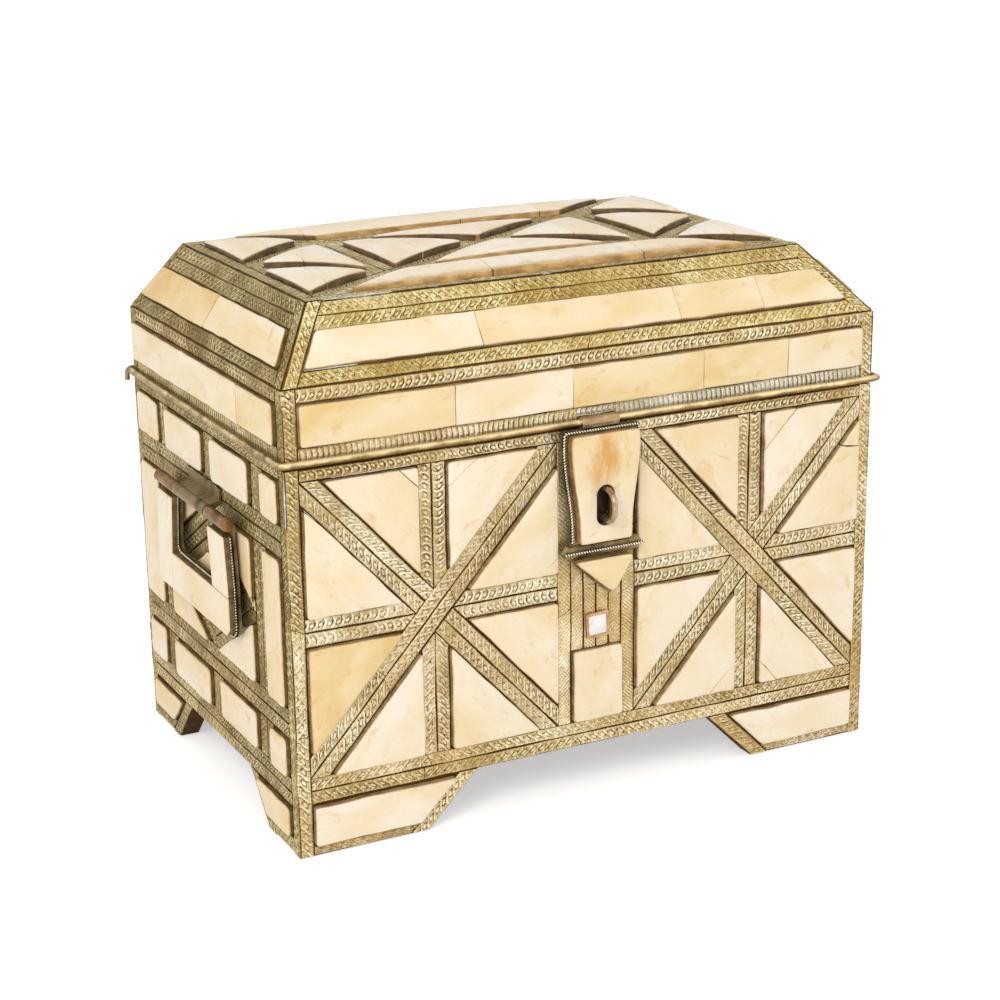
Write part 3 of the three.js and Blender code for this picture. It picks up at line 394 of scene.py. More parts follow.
# A strip runs from p to q. Each of its rows is cut off separately by the lines it must stay to the left of.
# Sheet brass came in short lengths, so long strips are made of pieces
def addRibbon(surface, face, p, q, width, keep=(), detail=1.0, die="scroll"):
    p, q = np.array(p, float), np.array(q, float)
    along, across = alongAndLeft(p, q)
    half = (width - strip["gap"]) / 2
    offset = np.linspace(-half, half, strip["rows"])
    rows = p + offset[:, None] * across
    start = np.full(strip["rows"], strip["spare"])
    end = np.full(strip["rows"], np.hypot(*(q - p)) - strip["spare"])
    for a, b, *spare in keep:
        run, _ = alongAndLeft(a, b)
        reach = leftOf(rows, a, b) - (spare[0] if spare else strip["gap"] / 2)
        slope = run[0] * along[1] - run[1] * along[0]
        if abs(slope) < 1e-6:
            continue
        limit = -reach / slope
        start, end = (np.maximum(start, limit), end) if slope > 0 else (start, np.minimum(end, limit))
    middle = (start + end) / 2
    start, end = np.minimum(start, middle - 0.05), np.maximum(end, middle + 0.05)
    clear = end.min() - start.max()
    count = 1 if clear < strip["longest"] else int(clear / strip["length"]) + 1
    cuts = start.max() + clear * np.arange(1, count) / count + rng.uniform(-25, 25, count - 1)
    lean = rng.choice([0, 0, strip["lean"], -strip["lean"]], count - 1)[:, None] * offset
    starts = [start, *(cuts[:, None] + lean + strip["cut"])]
    ends = [*(cuts[:, None] + lean - strip["cut"]), end]
    for first, last in zip(starts, ends):
        cols = max(3, int((last.max() - first.min()) / (strip["step"] * detail)) + 1)
        spot = first + (last - first) * np.linspace(0, 1, cols)[:, None]
        pitch = dies[die]["pitch"] * rng.uniform(0.94, 1.08)
        shift, way, turned = rng.uniform(0, pitch), rng.choice([-1, 1]), rng.choice([-1, 1])
        wear = 0.78 + 0.22 * np.sin(spot / rng.uniform(9, 22) + shift)  # struck deeper here and there
        relief = dieRelief(die, spot * way + shift, np.broadcast_to(offset * turned, spot.shape), half, pitch)
        bend = rng.normal(0, strip["warp"], 2)
        relief = 0.4 + (relief - 0.4) * wear + rng.normal(0, strip["pitting"], relief.shape)
        relief = np.clip(relief, 0, 1)
        top = (strip["top"] + strip["relief"] * (relief - 0.5) + bend[0] + bend[1] * offset / half
               - 0.2 * (np.abs(offset) > half - 0.05))
        foot = np.full((cols, 1), -strip["bed"])
        s = np.concatenate([spot, spot[:, -1:], spot[:, :1]], 1)
        narrowed = 1 - strip["narrow"] * (1 + np.sin(s / 17 + 5 * shift))  # so the gaps open and close
        w = np.concatenate([offset, [half, -half]]) * narrowed + sway(s, shift)
        flat = p + s[..., None] * along + w[..., None] * across
        out = np.concatenate([top, foot, foot], 1)
        edge = np.concatenate([relief, 0 * foot, 0 * foot], 1)
        uv = np.stack([s, w], -1) / 1000 + rng.uniform(-9, 9, 2)
        addGrid(surface, place(face, flat[..., 0], flat[..., 1], out), uv, rng.uniform(-1, 1), edge,
                wrap=True, caps=True)


def mirroredRibbons(ribbons):
    return [(*mirrored([p, q]), width, [(*mirrored([a, b]), *spare) for a, b, *spare in keep], *die)
            for p, q, width, keep, *die in ribbons]


def upright(u, low, high, width, *die):
    return ((u, low), (u, high), width, [], *die)


def level(half, v, width, *die):
    return ((-half, v), (half, v), width, [], *die)


# The edge of a pair of strips, as a line with the given side to its left
def pairEdge(start, direction, towards, reach):
    along, left = alongAndLeft((0, 0), direction)
    if left @ towards < 0:
        along, left = -along, -left
    edge = start + left * reach
    return (edge, edge + along)


# Four arms upright and level, and two diagonals of which one runs through, all of paired strips
def crossRibbons(u0, v0, u1, v1, rising, band=9.0):
    centre = np.array([(u0 + u1) / 2, (v0 + v1) / 2])
    size = np.array([u1 - u0, v1 - v0]) / 2
    past = 1.2  # strips run on beyond the corner, and the field cuts them off
    field = sidesOf(rectangle(u0, v0, u1, v1), 0.0)
    through, other = (size, size * [1, -1]) if rising else (size * [1, -1], size)
    ribbons = []
    for side in (-1, 1):
        shift = alongAndLeft((0, 0), through)[1] * side * band / 2
        ribbons.append((centre - past * through + shift, centre + past * through + shift, band, field))
        for arm in (-other, other):
            shift = alongAndLeft((0, 0), arm)[1] * side * band / 2
            ribbons.append((centre + shift, centre + past * arm + shift, band,
                            field + [pairEdge(centre, through, arm, band)]))
    for arm in np.array([[1, 0], [0, 1], [-1, 0], [0, -1]], float):
        for side in (-1, 1):
            left = np.array([-arm[1], arm[0]]) * side
            diagonal = size * np.sign(arm + left)
            start = centre + left * band / 2
            ribbons.append((start, start + arm * (size @ np.abs(arm)), band,
                            field + [pairEdge(centre, diagonal, arm - left, band)],
                            "scroll" if arm[1] < 0 else "arch"))
    return ribbons


# The base's faces: widths of borders and bands, bands as (low, high, strips), rows as (low, high, uprights)
layout = {
    "corner": 9.5, "top": 8.0, "frontApron": 33.0, "frontBand": 16.5, "centre": 54.0, "centreBone": 35.0,
    "centreBoneTop": 97.0, "centreStrip": 9.5, "band": 9.0, "edge": 0.4,
    "frontFoot": {"floor": 230.0, "arch": 164.0, "bottom": 6.5, "edge": 9.2},
    "sideFoot": {"floor": 160.0, "arch": 104.0, "bottom": 9.5, "edge": 9.2},
    "sideApron": 30.0, "sideBands": [(30, 48, 2), (73, 92, 2), (183, 203, 2), (230, 237.1, 1)],
    "sideRows": [(48, 73, [(-80.5, 19), (3, 18), (84, 22)]), (92, 183, [(-78, 18), (85, 20)]),
                 (203, 230, [(-74, 15), (7, 16), (86, 18)])],
    "diamond": (60.0, 36.0, 27.0),
}


def crossCells(u0, v0, u1, v1, band=9.0):
    centre = np.array([(u0 + u1) / 2, (v0 + v1) / 2])
    cells = []
    for corner in rectangle(u0, v0, u1, v1):
        low = np.where(corner < centre, [u0, v0], centre + band)
        high = np.where(corner < centre, centre - band, [u1, v1])
        quarter = rectangle(*low, *high)
        cells.append({"outline": keepLeft(quarter, centre, corner, band)})
        cells.append({"outline": keepLeft(quarter, corner, centre, band)})
    return cells


def footCell(foot, apron, half, corner):
    outer = half - corner
    outline = np.array([[foot["floor"] / 2, 0], [outer, 0], [outer, apron], [foot["arch"] / 2, apron]])
    return insetOutline(outline, np.array([foot["bottom"], 0, 1, foot["edge"]]))


def footRibbons(foot, apron, half, corner, edge):
    low, high = np.array([foot["floor"] / 2, 0.0]), np.array([foot["arch"] / 2, apron])
    along, left = alongAndLeft(low, high)
    inner, middle = low - left * foot["edge"], -left * foot["edge"] / 2
    field = sidesOf(rectangle(0, edge, half - corner, apron), 0.0)
    past, bottomUp = 20, foot["bottom"] / 2 + edge / 2
    slant = (low - past * along + middle, high + past * along + middle, foot["edge"], field)
    bottom = ((foot["floor"] / 2 - 30, bottomUp), (half - corner, bottomUp), foot["bottom"] - edge,
              field + [(inner, inner - along)])
    return [slant, bottom] + mirroredRibbons([slant, bottom])


panelLow = layout["frontApron"] + layout["frontBand"]
panelHigh = body["baseTop"] - layout["top"]
panels = [(-halfW + layout["corner"], panelLow, -layout["centre"] / 2, panelHigh),
          (layout["centre"] / 2, panelLow, halfW - layout["corner"], panelHigh)]


def frontCells(back):
    half = layout["centreBone"] / 2
    foot = footCell(layout["frontFoot"], layout["frontApron"], halfW, layout["corner"])
    outlines = [rectangle(-half, panelLow, half, layout["centreBoneTop"]), foot, mirrored(foot)]
    if back:
        outlines.append(rectangle(-half, layout["centreBoneTop"] + layout["centreStrip"], half, panelHigh))
    return crossCells(*panels[0]) + crossCells(*panels[1]) + [{"outline": outline} for outline in outlines]


def frontBorder(back):
    corner, edge, top = layout["corner"], layout["edge"], body["baseTop"] - layout["edge"]
    half, bound, boneTop = layout["centreBone"] / 2, layout["centre"] / 2, layout["centreBoneTop"]
    ribbons = [upright(s * (halfW - corner / 2), edge, top, corner) for s in (-1, 1)]
    ribbons.append(level(halfW - corner, (panelHigh + top) / 2, top - panelHigh, "arch"))
    apron, band = layout["frontApron"], layout["frontBand"]
    ribbons += [level(halfW - corner, apron + share * band, band / 2) for share in (0.25, 0.75)]
    ribbons += footRibbons(layout["frontFoot"], apron, halfW, corner, edge)
    ribbons += [upright(s * (half + bound) / 2, panelLow, panelHigh, bound - half, "hatch") for s in (-1, 1)]
    if back:
        return ribbons + [level(half, boneTop + layout["centreStrip"] / 2, layout["centreStrip"])]
    return ribbons + [upright(-half + share * 2 * half, boneTop, panelHigh, half / 2, "hatch")
                      for share in (0.125, 0.375, 0.625, 0.875)]


def diamondOf(low, high, uprights):
    left, right = uprights[0][0] + uprights[0][1] / 2, uprights[1][0] - uprights[1][1] / 2
    width, height, band = layout["diamond"]
    middle = np.array([(left + right) / 2, (low + high) / 2])
    points = middle + np.array([[-width / 2, 0], [0, -height / 2], [width / 2, 0], [0, height / 2]])
    return points, middle, rectangle(left, low, right, high), band


def rowEdges(uprights):
    edges = [-halfD + layout["corner"]]
    for middle, width in uprights:
        edges += [middle - width / 2, middle + width / 2]
    return edges + [halfD - layout["corner"]]


def leftCells():
    cells = []
    for row, (low, high, uprights) in enumerate(layout["sideRows"]):
        edges = rowEdges(uprights)
        spans = list(zip(edges[::2], edges[1::2]))
        for span in (spans if row != 1 else [spans[0], spans[2]]):
            cells.append({"outline": rectangle(span[0], low, span[1], high)})
        if row == 1:
            points, middle, field, band = diamondOf(low, high, uprights)
            cells.append({"outline": points})
            for p, q in zip(points, np.roll(points, -1, 0)):
                cells.append({"outline": keepLeft(field, q, p, band)})
    foot = footCell(layout["sideFoot"], layout["sideApron"], halfD, layout["corner"])
    return cells + [{"outline": foot}, {"outline": mirrored(foot)}]


def leftRibbons():
    corner, edge, top = layout["corner"], layout["edge"], body["baseTop"] - layout["edge"]
    ribbons = [upright(s * (halfD - corner / 2), edge, top, corner) for s in (-1, 1)]
    for low, high, count in layout["sideBands"]:
        ribbons += [level(halfD - corner, low + (high - low) * (i + 0.5) / count, (high - low) / count)
                    for i in range(count)]
    for low, high, uprights in layout["sideRows"]:
        ribbons += [upright(middle + s * width / 4, low, high, width / 2)
                    for middle, width in uprights for s in (-1, 1)]
    points, middle, field, band = diamondOf(*layout["sideRows"][1])
    past, count = 90, 3  # strips beside each other along the diamond
    for p, q in zip(points, np.roll(points, -1, 0)):
        along, left = alongAndLeft(p, q)
        for i in range(count):
            shift = -left * band * (i + 0.5) / count
            ribbons.append((p - past * along + shift, q + past * along + shift, band / count,
                            sidesOf(field, 0.0) + [(middle, p), (q, middle)]))
    return ribbons + footRibbons(layout["sideFoot"], layout["sideApron"], halfD, corner, edge)


# The lid's faces, with the places of the joints between bones. Seams show a little bare wood
lidLayout = {
    "wall": {"bottom": 12.0, "side": 9.5, "top": 9.2}, "slope": {"bottom": 9.5, "hip": 9.0, "top": 18.5},
    "wallSeam": (0.4, 0.7), "slopeSeam": (0.6, 1.25, 0.9), "topSeam": 0.8,
    "wallJoints": {"front": [-94, -17, 73, 134], "back": [-110, -30, 52, 126], "left": [-29, 67],
                   "right": [-67, 29]},
    "slopeJoints": {"front": [-72, 61, 120], "back": [-96, 10, 92], "left": [-2], "right": [-2]},
    "topBorder": 9.0, "topBand": 17.0, "nodeShare": 0.545, "knuckleNotch": (13.2, 243.6),
}


def lidWallCells(name):
    half = halfW if name in ("front", "back") else halfD
    wall = lidLayout["wall"]
    outline = rectangle(-half + wall["side"], body["lidBottom"] + wall["bottom"],
                        half - wall["side"], body["lidWallTop"] - wall["top"])
    return [{"outline": outline, "joints": lidLayout["wallJoints"][name]}]


def lidWallRibbons(name):
    half = halfW if name in ("front", "back") else halfD
    wall, (seamLow, seamHigh) = lidLayout["wall"], lidLayout["wallSeam"]
    low, high = body["lidBottom"] + seamLow, body["lidWallTop"] - seamHigh
    inner = half - wall["side"]
    boneLow, boneHigh = body["lidBottom"] + wall["bottom"], body["lidWallTop"] - wall["top"]
    ribbons = [upright(s * (half - wall["side"] / 2), low, high, wall["side"]) for s in (-1, 1)]
    ribbons.append(level(inner, (boneHigh + high) / 2, high - boneHigh, "arch"))
    if name != "front":
        return ribbons + [level(inner, (low + boneLow) / 2, boneLow - low, "ladder")]
    reach, top = lidLayout["knuckleNotch"]
    v = (low + boneLow) / 2
    for start, end in ((-inner, -reach), (reach, inner)):
        ribbons.append(((start, v), (end, v), boneLow - low, [], "ladder"))
    return ribbons + [level(reach, (top + boneLow) / 2, boneLow - top, "ladder")]


def slopeOutline(name):
    i = sideNames.index(name)
    neighbours = [walls[name], slopes[sideNames[(i + 1) % 4]], plateau, slopes[sideNames[(i + 3) % 4]]]
    return outlineOf([cutBy(slopes[name], other, 0) for other in neighbours])


def slopeCells(name):
    s = lidLayout["slope"]
    outline = insetOutline(slopeOutline(name), np.array([s["bottom"], s["hip"], s["top"], s["hip"]]))
    return [{"outline": outline, "joints": lidLayout["slopeJoints"][name]}]


# A strip along one edge of an outline, at some distance inside it
def edgeRibbon(outline, i, distance, width, keep):
    p, q = outline[i], outline[(i + 1) % len(outline)]
    along, left = alongAndLeft(p, q)
    shift, past = left * (distance + width / 2), 5
    return (p - past * along + shift, q + past * along + shift, width, keep)


def slopeRibbons(name):
    s, (low, hip, high) = lidLayout["slope"], lidLayout["slopeSeam"]
    outline = slopeOutline(name)
    rim = sidesOf(insetOutline(outline, np.array([low, hip, high, hip])), 0.0)
    between = rim + sidesOf(insetOutline(outline, s["hip"]))[1::2]
    ribbons = [edgeRibbon(outline, i, hip, s["hip"] - hip, rim) for i in (1, 3)]
    ribbons.append(edgeRibbon(outline, 0, low, s["bottom"] - low, between))
    width = (s["top"] - high) / 2
    return ribbons + [edgeRibbon(outline, 2, distance, width, between)
                      for distance in (high, (high + s["top"]) / 2)]


topOutline = outlineOf([cutBy(plateau, slopes[name], 0) for name in sideNames])


def topCells():
    k0, k1, k2, k3 = topOutline
    a0, a1, a2, a3 = topOutline * lidLayout["nodeShare"]
    west, east, c = np.array([k0[0], 0]), np.array([k1[0], 0]), np.zeros(2)
    b, e = lidLayout["topBand"] / 2, lidLayout["topBorder"]
    shapes = {
        "front_long": ([k0, k1, a1, a0], [e, b, b, b]), "back_long": ([k2, k3, a3, a2], [e, b, b, b]),
        "front_inner": ([a0, a1, c], b), "back_inner": ([a2, a3, c], b),
        "right_inner": ([a1, a2, c], b), "left_inner": ([a3, a0, c], b),
        "right_outer": ([a1, east, a2], b), "left_outer": ([a3, west, a0], b),
        "front_left_border": ([k0, a0, west], [b, b, e]), "back_left_border": ([west, a3, k3], [b, b, e]),
        "front_right_border": ([east, a1, k1], [b, b, e]), "back_right_border": ([k2, a2, east], [b, b, e]),
    }
    return {name: insetOutline(np.array(points), np.array(widths))
            for name, (points, widths) in shapes.items()}


def topRibbons():
    k, a = topOutline, topOutline * lidLayout["nodeShare"]
    band, border, edge = lidLayout["topBand"], lidLayout["topBorder"], lidLayout["topSeam"]
    rim, field = sidesOf(insetOutline(k, edge), 0.0), sidesOf(insetOutline(k, border))
    ribbons = [edgeRibbon(k, i, edge, border - edge, field[::2] if i % 2 else rim) for i in range(4)]

    def pair(p, q, keep):
        shift = alongAndLeft(p, q)[1] * band / 4
        for s in (-1, 1):
            ribbons.append((p + s * shift, q + s * shift, band / 2, keep))

    def edgeOf(p, q, towards):  # the edge of the pair from p to q, with the given point to its left
        return pairEdge(p, q - p, towards - p, band / 2)

    pair(k[0], k[2], field)
    for end in (1, 3):
        pair(np.zeros(2), k[end], field + [edgeOf(k[0], k[2], k[end])])
    for i, j in ((0, 1), (2, 3), (3, 0), (1, 2)):
        middle = (a[i] + a[j]) / 2
        pair(a[i], a[j], [edgeOf(k[i], k[(i + 2) % 4], middle), edgeOf(k[j], k[(j + 2) % 4], middle)])
    seam = 0.15  # half of the one where the outer pairs meet
    for i, side in ((0, 0), (3, 0), (1, 1), (2, 1)):
        start = np.array([k[side][0], 0.0])
        middle = (start + a[i]) / 2
        meeting = (start, start + [1, 0], seam) if middle[1] > 0 else (start + [1, 0], start, seam)
        pair(start, a[i] + (a[i] - start) * 0.2, field + [
            edgeOf(k[i], k[(i + 2) % 4], middle), edgeOf(a[i], a[3 - i], middle), meeting])
    return ribbons


# Camel bone, sawn, filed and polished: cream, with warm stains, long fine grain, pores, and brown sawn sides
def boneMaterial(name, sides, warmth=0.0, stainAt=None, frontSides=None):
    material, add = newMaterial(name)
    uv, spot = add("UVMap", uv_map="grain"), add("TexCoord")
    tone, edge = (add("Attribute", attribute_name=key) for key in ("tone", "edge"))
    # clouds of some 40 mm
    broad = add("TexNoise", [add("Mapping", [uv, (0.5, 1.0, 1)]), 30, 4, 0.55, 0.5])
    ownTone = add("Math", [tone, 0.25], operation="MULTIPLY")
    cloud = add("Math", [add("MapRange", [broad, 0.34, 0.68, 0, 0.5]), ownTone])
    cream = add("ValToRGB", [add("Math", [cloud, 0.16 + warmth])],
                [(0.0, "#F9F0E0"), (0.35, "#F4E3C3"), (0.7, "#EED5A2"), (1.0, "#E3C07C")])
    # grain lines under 1 mm apart
    fibre = add("TexNoise", [add("Mapping", [uv, (60, 1300, 1)]), 1, 4, 0.65])
    colour = add("Mix", [add("MapRange", [fibre, 0.5, 0.85, 0, 0.16]), cream, "#C2965A"], data_type="RGBA")
    stain = add("TexNoise", [add("Mapping", [uv, (0.8, 1.3, 1)]), 60, 5, 0.7, 0.6])
    colour = add("Mix", [add("MapRange", [stain, 0.57, 0.76, 0, 0.6]), colour, "#DDA24C"], data_type="RGBA")
    if stainAt is not None:  # an orange stain round one place, as (width, place) in metres
        offset = add("Mapping", [spot, *stainAt], vector_type="TEXTURE")
        far = add("VectorMath", [offset], output="Value", operation="LENGTH")
        streak = add("TexNoise", [add("Mapping", [spot, (1, 1, 0.35)]), 170, 5, 0.7])
        torn = add("Math", [far, add("MapRange", [streak, 0.25, 0.75, -0.7, 0.7])])
        colour = add("Mix", [add("MapRange", [torn, 0.1, 1.1, 0.85, 0]), colour, "#D99A38"], data_type="RGBA")
    # pores and nicks under a millimetre, in groups
    speck = add("TexNoise", [add("Mapping", [uv, (240, 900, 1)]), 1, 3, 0.6])
    group = add("MapRange", [add("TexNoise", [uv, 45, 3, 0.6]), 0.52, 0.64, 0, 0.4])
    pores = add("Math", [add("MapRange", [speck, 0.62, 0.7, 0, 1]), group], operation="MULTIPLY")
    colour = add("Mix", [pores, colour, "#A9783C"], data_type="RGBA")
    # dirt along the rim
    nibbled = add("MapRange", [add("TexNoise", [uv, 120, 4, 0.6]), 0.25, 0.75, -0.25, 0.2])
    rim = add("MapRange", [add("Math", [edge, nibbled]), -0.25, 0.24, 0.6, 0])
    colour = add("Mix", [rim, colour, "#AE9060"], data_type="RGBA")
    # the sawn sides, in layers
    streaks = add("TexNoise", [add("Mapping", [spot, (90, 90, 260)]), 1, 4, 0.55])
    side = add("ValToRGB", [streaks], list(zip((0.34, 0.66), sides)))
    if frontSides is not None:  # painted light: lighter where the side looks to the front
        flat = add("VectorMath", [add("TexCoord", output="Normal"), (1, 1, 0)], operation="MULTIPLY")
        towards = add("SeparateXYZ", [add("VectorMath", [flat], operation="NORMALIZE")], output="Y")
        lighter = add("ValToRGB", [streaks], list(zip((0.34, 0.66), frontSides)))
        side = add("Mix", [add("MapRange", [towards, -0.98, -0.9, 1, 0]), side, lighter], data_type="RGBA")
    ragged = add("Math", [edge, add("MapRange", [broad, 0.3, 0.7, -0.1, 0.1])])
    colour = add("Mix", [add("MapRange", [ragged, -0.5, -0.12, 1, 0]), colour, side], data_type="RGBA")
    height = add("Math", [add("Math", [fibre, 0.2], operation="MULTIPLY"),
                          add("Math", [broad, 1.6], operation="MULTIPLY")])
    shader = add("BsdfPrincipled", {
        "Base Color": colour, "Roughness": add("MapRange", [broad, 0.3, 0.7, 0.36, 0.5]),
        "Normal": add("Bump", [height, 0.5, 0.0006]), "IOR": 1.54,
    })
    add("OutputMaterial", [shader])
    return material


# Thin sheet brass, die-struck and long aged: khaki gold, grime and painted shade in the hollows, ridges worn
# bright and lit by a painted highlight, grey solder spots
def embossedBrass(name, stops, goldness=0.45, slotShadeAt=None):
    material, add = newMaterial(name)
    uv, spot = add("UVMap", uv_map="grain"), add("TexCoord")
    tone, relief = (add("Attribute", attribute_name=key) for key in ("tone", "edge"))
    patch = add("MapRange", [add("TexNoise", [spot, 35, 4, 0.6, 0.5]), 0.3, 0.7, -0.2, 0.2])
    level = add("Math", [add("Math", [relief, patch]), add("Math", [tone, 0.1], operation="MULTIPLY")])
    # grime and wear in specks of under a millimetre
    fine = add("MapRange", [add("TexNoise", [spot, 1300, 2, 0.6]), 0.3, 0.7, -0.17, 0.17])
    level = add("Math", [level, fine])
    # Painted highlight and shade: the ramp runs to near white on the ridges, and the dark first stop fills the
    # hollows and the strip's edges, along with grime
    colour = add("ValToRGB", [level], list(zip((0.2, 0.52, 0.9), stops[1:])))
    groove = add("MapRange", [relief, 0.08, 0.33, 0.95, 0])
    colour = add("Mix", [groove, colour, stops[0]], data_type="RGBA")
    gold = add("MapRange", [add("TexNoise", [spot, 14, 3, 0.55]), 0.42, 0.68, 0, goldness])
    colour = add("Mix", [gold, colour, "#D9B46A"], data_type="RGBA", blend_type="MULTIPLY")
    # grey tin, dirt and verdigris, each as noise settings, range, strength and colour
    for settings, low, high, strength, tint in (
            ((90, 4, 0.6, 1.0), 0.64, 0.72, 0.75, "#C9C4B8"), ((75, 5, 0.7), 0.58, 0.74, 0.5, "#6E5223"),
            ((130, 3, 0.5), 0.72, 0.78, 0.4, "#7FA58C")):
        amount = add("MapRange", [add("TexNoise", [spot, *settings]), low, high, 0, strength])
        colour = add("Mix", [amount, colour, tint], data_type="RGBA")
    if slotShadeAt is not None:  # painted shade in the deep slot behind the hasp, round its ring, as (width, place) in metres
        offset = add("Mapping", [spot, *slotShadeAt], vector_type="TEXTURE")
        far = add("VectorMath", [offset], output="Value", operation="LENGTH")
        colour = add("Mix", [add("MapRange", [far, 0.75, 1.1, 0.93, 0]), colour, "#1C130B"], data_type="RGBA")
    grit = add("TexNoise", [uv, 1500, 3, 0.6])  # tool marks under a millimetre
    shader = add("BsdfPrincipled", {
        "Base Color": colour, "Metallic": 0.62, "Roughness": add("MapRange", [level, 0.0, 1.0, 0.56, 0.34]),
        "Normal": add("Bump", [grit, 0.35, 0.0003]),
    })
    add("OutputMaterial", [shader])
    return material


# Drawn or rolled metal, worn smooth, with darker tarnish in clouds of about a centimetre
def wornMetal(name, low, high, rough=0.36, rubbed=None):
    material, add = newMaterial(name)
    spot = add("TexCoord")
    cloud = add("TexNoise", [spot, 60, 5, 0.65, 0.6])
    colour = add("ValToRGB", [cloud], [(0.3, low), (0.62, high)])
    if rubbed is not None:  # one side gets the light tint, partly worn bright by hands and partly a painted highlight, and the other the low colour, partly dirt and partly painted shade
        nibbled = add("MapRange", [add("TexNoise", [spot, 90, 4, 0.55]), 0.3, 0.7, -0.15, 0.15])
        facing = add("Math", [add("Attribute", attribute_name="edge"), nibbled])
        colour = add("Mix", [add("MapRange", [facing, 0.35, 0.68, 0.9, 0]), colour, low], data_type="RGBA")
        colour = add("Mix", [add("MapRange", [facing, 0.72, 0.98, 0, 0.9]), colour, rubbed], data_type="RGBA")
    shader = add("BsdfPrincipled", {
        "Base Color": colour, "Metallic": 0.7,
        "Roughness": add("MapRange", [cloud, 0.3, 0.7, rough + 0.18, rough]),
        "Normal": add("Bump", [add("TexNoise", [spot, 400, 3, 0.55]), 0.3, 0.0004]),
    })
    add("OutputMaterial", [shader])
    return material


# Twisted white-metal wire: a painted highlight on top of each turn, painted shade between the strands
def twistedWire(name):
    material, add = newMaterial(name)
    cloud = add("MapRange", [add("TexNoise", [add("TexCoord"), 220, 3, 0.55]), 0.3, 0.7, -0.15, 0.15])
    level = add("Math", [add("Attribute", attribute_name="edge"), cloud])
    colour = add("ValToRGB", [level], [(0.45, "#1C1307"), (0.65, "#A0906A"), (0.82, "#FFFBEF")])
    add("OutputMaterial", [add("BsdfPrincipled", {"Base Color": colour, "Metallic": 0.6, "Roughness": 0.34})])
    return material


# Old softwood, darkened and dirty: seen between the strips, on cut edges and inside. Dry, so it hardly shines
def darkWood(name, low, high):
    material, add = newMaterial(name)
    grain = add("TexNoise", [add("Mapping", [add("TexCoord"), (6, 60, 60)]), 6, 6, 0.7, 0.4])
    colour = add("ValToRGB", [grain], [(0.3, low), (0.7, high)])
    shader = add("BsdfPrincipled", {
        "Base Color": colour, "Roughness": 0.8, "Specular IOR Level": 0.1,
        "Normal": add("Bump", [grain, 0.4, 0.001]),
    })
    add("OutputMaterial", [shader])
    return material


# Opaque white glass: almost even, glossy, with faint milky clouds
def whiteGlass(name):
    material, add = newMaterial(name)
    cloud = add("TexNoise", [add("TexCoord"), 150, 3, 0.55])
    colour = add("ValToRGB", [cloud], [(0.3, "#E7E5E3"), (0.6, "#F6F5F2")])
    add("OutputMaterial", [add("BsdfPrincipled", {"Base Color": colour, "Roughness": 0.18})])
    return material


finish = {
    "bone": boneMaterial("polished camel bone", ("#7A6142", "#B59C74")),
    # the same bone with darker sides, partly brown sawn bone and partly painted shade, for the side faces and
    # the handles
    "shadedSideBone": boneMaterial("polished camel bone, darker sides partly painted shade", ("#4E3A1C", "#84683C")),
    # the thick top bones' sides: dark, partly dirt and partly painted shade, and lighter where they face the
    # front as painted light
    "topBone": boneMaterial("thick camel bone", ("#453118", "#7E6340"), frontSides=("#A67D45", "#E2BA7C")),
    "haspBone": boneMaterial("handled camel bone", ("#6E5230", "#B28C58"), 0.14,
                             ((0.014, 0.03, 0.027), (0.0, -0.142 + shiftY / 1000, 0.223))),
    # the front strips carry painted shade round the staple, in the slot behind the hasp
    "strips": embossedBrass("embossed sheet brass", ("#3F2A0C", "#B2985F", "#D7C497", "#FFF9E2"), 0.45,
                            ((0.0115, 0.03, 0.018), (0, -0.13 + shiftY / 1000, 0.191))),
    "paleStrips": embossedBrass("pale embossed brass", ("#402C10", "#B8A272", "#DCCCA5", "#FFFCEC"), 0.3),
    "goldStrips": embossedBrass("golden embossed brass", ("#402D0C", "#AF944C", "#D1BC7C", "#FBF1CC"), 0.6),
    "darkStrips": embossedBrass("darker embossed brass", ("#32230A", "#806B38", "#AF9C65", "#E8DBAD"), 0.4),
    "topStrips": embossedBrass("grimy embossed brass", ("#3C2B10", "#927D4C", "#B8A675", "#E4D6AB"), 0.3),
    "tinStrips": embossedBrass("tinned embossed brass", ("#4D432C", "#B5AA8C", "#D6CFB8", "#F6F3E8"), 0.2),
    "golden": wornMetal("worn drawn brass", "#5C431C", "#B09050", 0.3, "#F7E2AE"),
    "copper": wornMetal("red brass tube", "#442F18", "#96703E", 0.3),
    "tube": wornMetal("brown rolled sheet brass", "#8A6B4A", "#CDB08A", 0.36),
    "dull": wornMetal("tarnished sheet brass", "#46371F", "#9C8656", 0.38),
    "ring": wornMetal("tarnished white metal wire", "#3E2E20", "#B9A182", 0.14),
    "wire": twistedWire("twisted white metal wire"),
    "wood": darkWood("dark old pine", "#422A0E", "#66461E"),
    # the lid's pine is given a lighter colour than the chest's
    "lidWood": darkWood("old pine, rubbed lighter", "#664A26", "#8C6A3A"),
    "rimBrass": wornMetal("gilt red brass", "#8A5F38", "#E0B583", 0.32),
    "solder": wornMetal("old tin solder", "#8F8880", "#E4E0DC", 0.3),
    "glass": whiteGlass("opaque white glass"),
}
print("materials ready")


# Rings of (outline, depth), each one around the last, become a solid. Without caps it closes on itself
def addLoft(surface, face, rings, caps=True, edges=None):
    flat = np.stack([outline for outline, _ in rings])
    out = np.array([depth for _, depth in rings], float)[:, None] + 0 * flat[..., 0]
    edge = 0.0 if edges is None else np.repeat(np.array(edges, float)[:, None], flat.shape[1], 1)
    addGrid(surface, place(face, flat[..., 0], flat[..., 1], out), flat / 1000, 0.0, edge,
            wrap=True, caps=caps, flip=True, loop=not caps)


def addSheet(surface, face, outline, low, high):
    addLoft(surface, face, [(outline, low), (outline, high)])


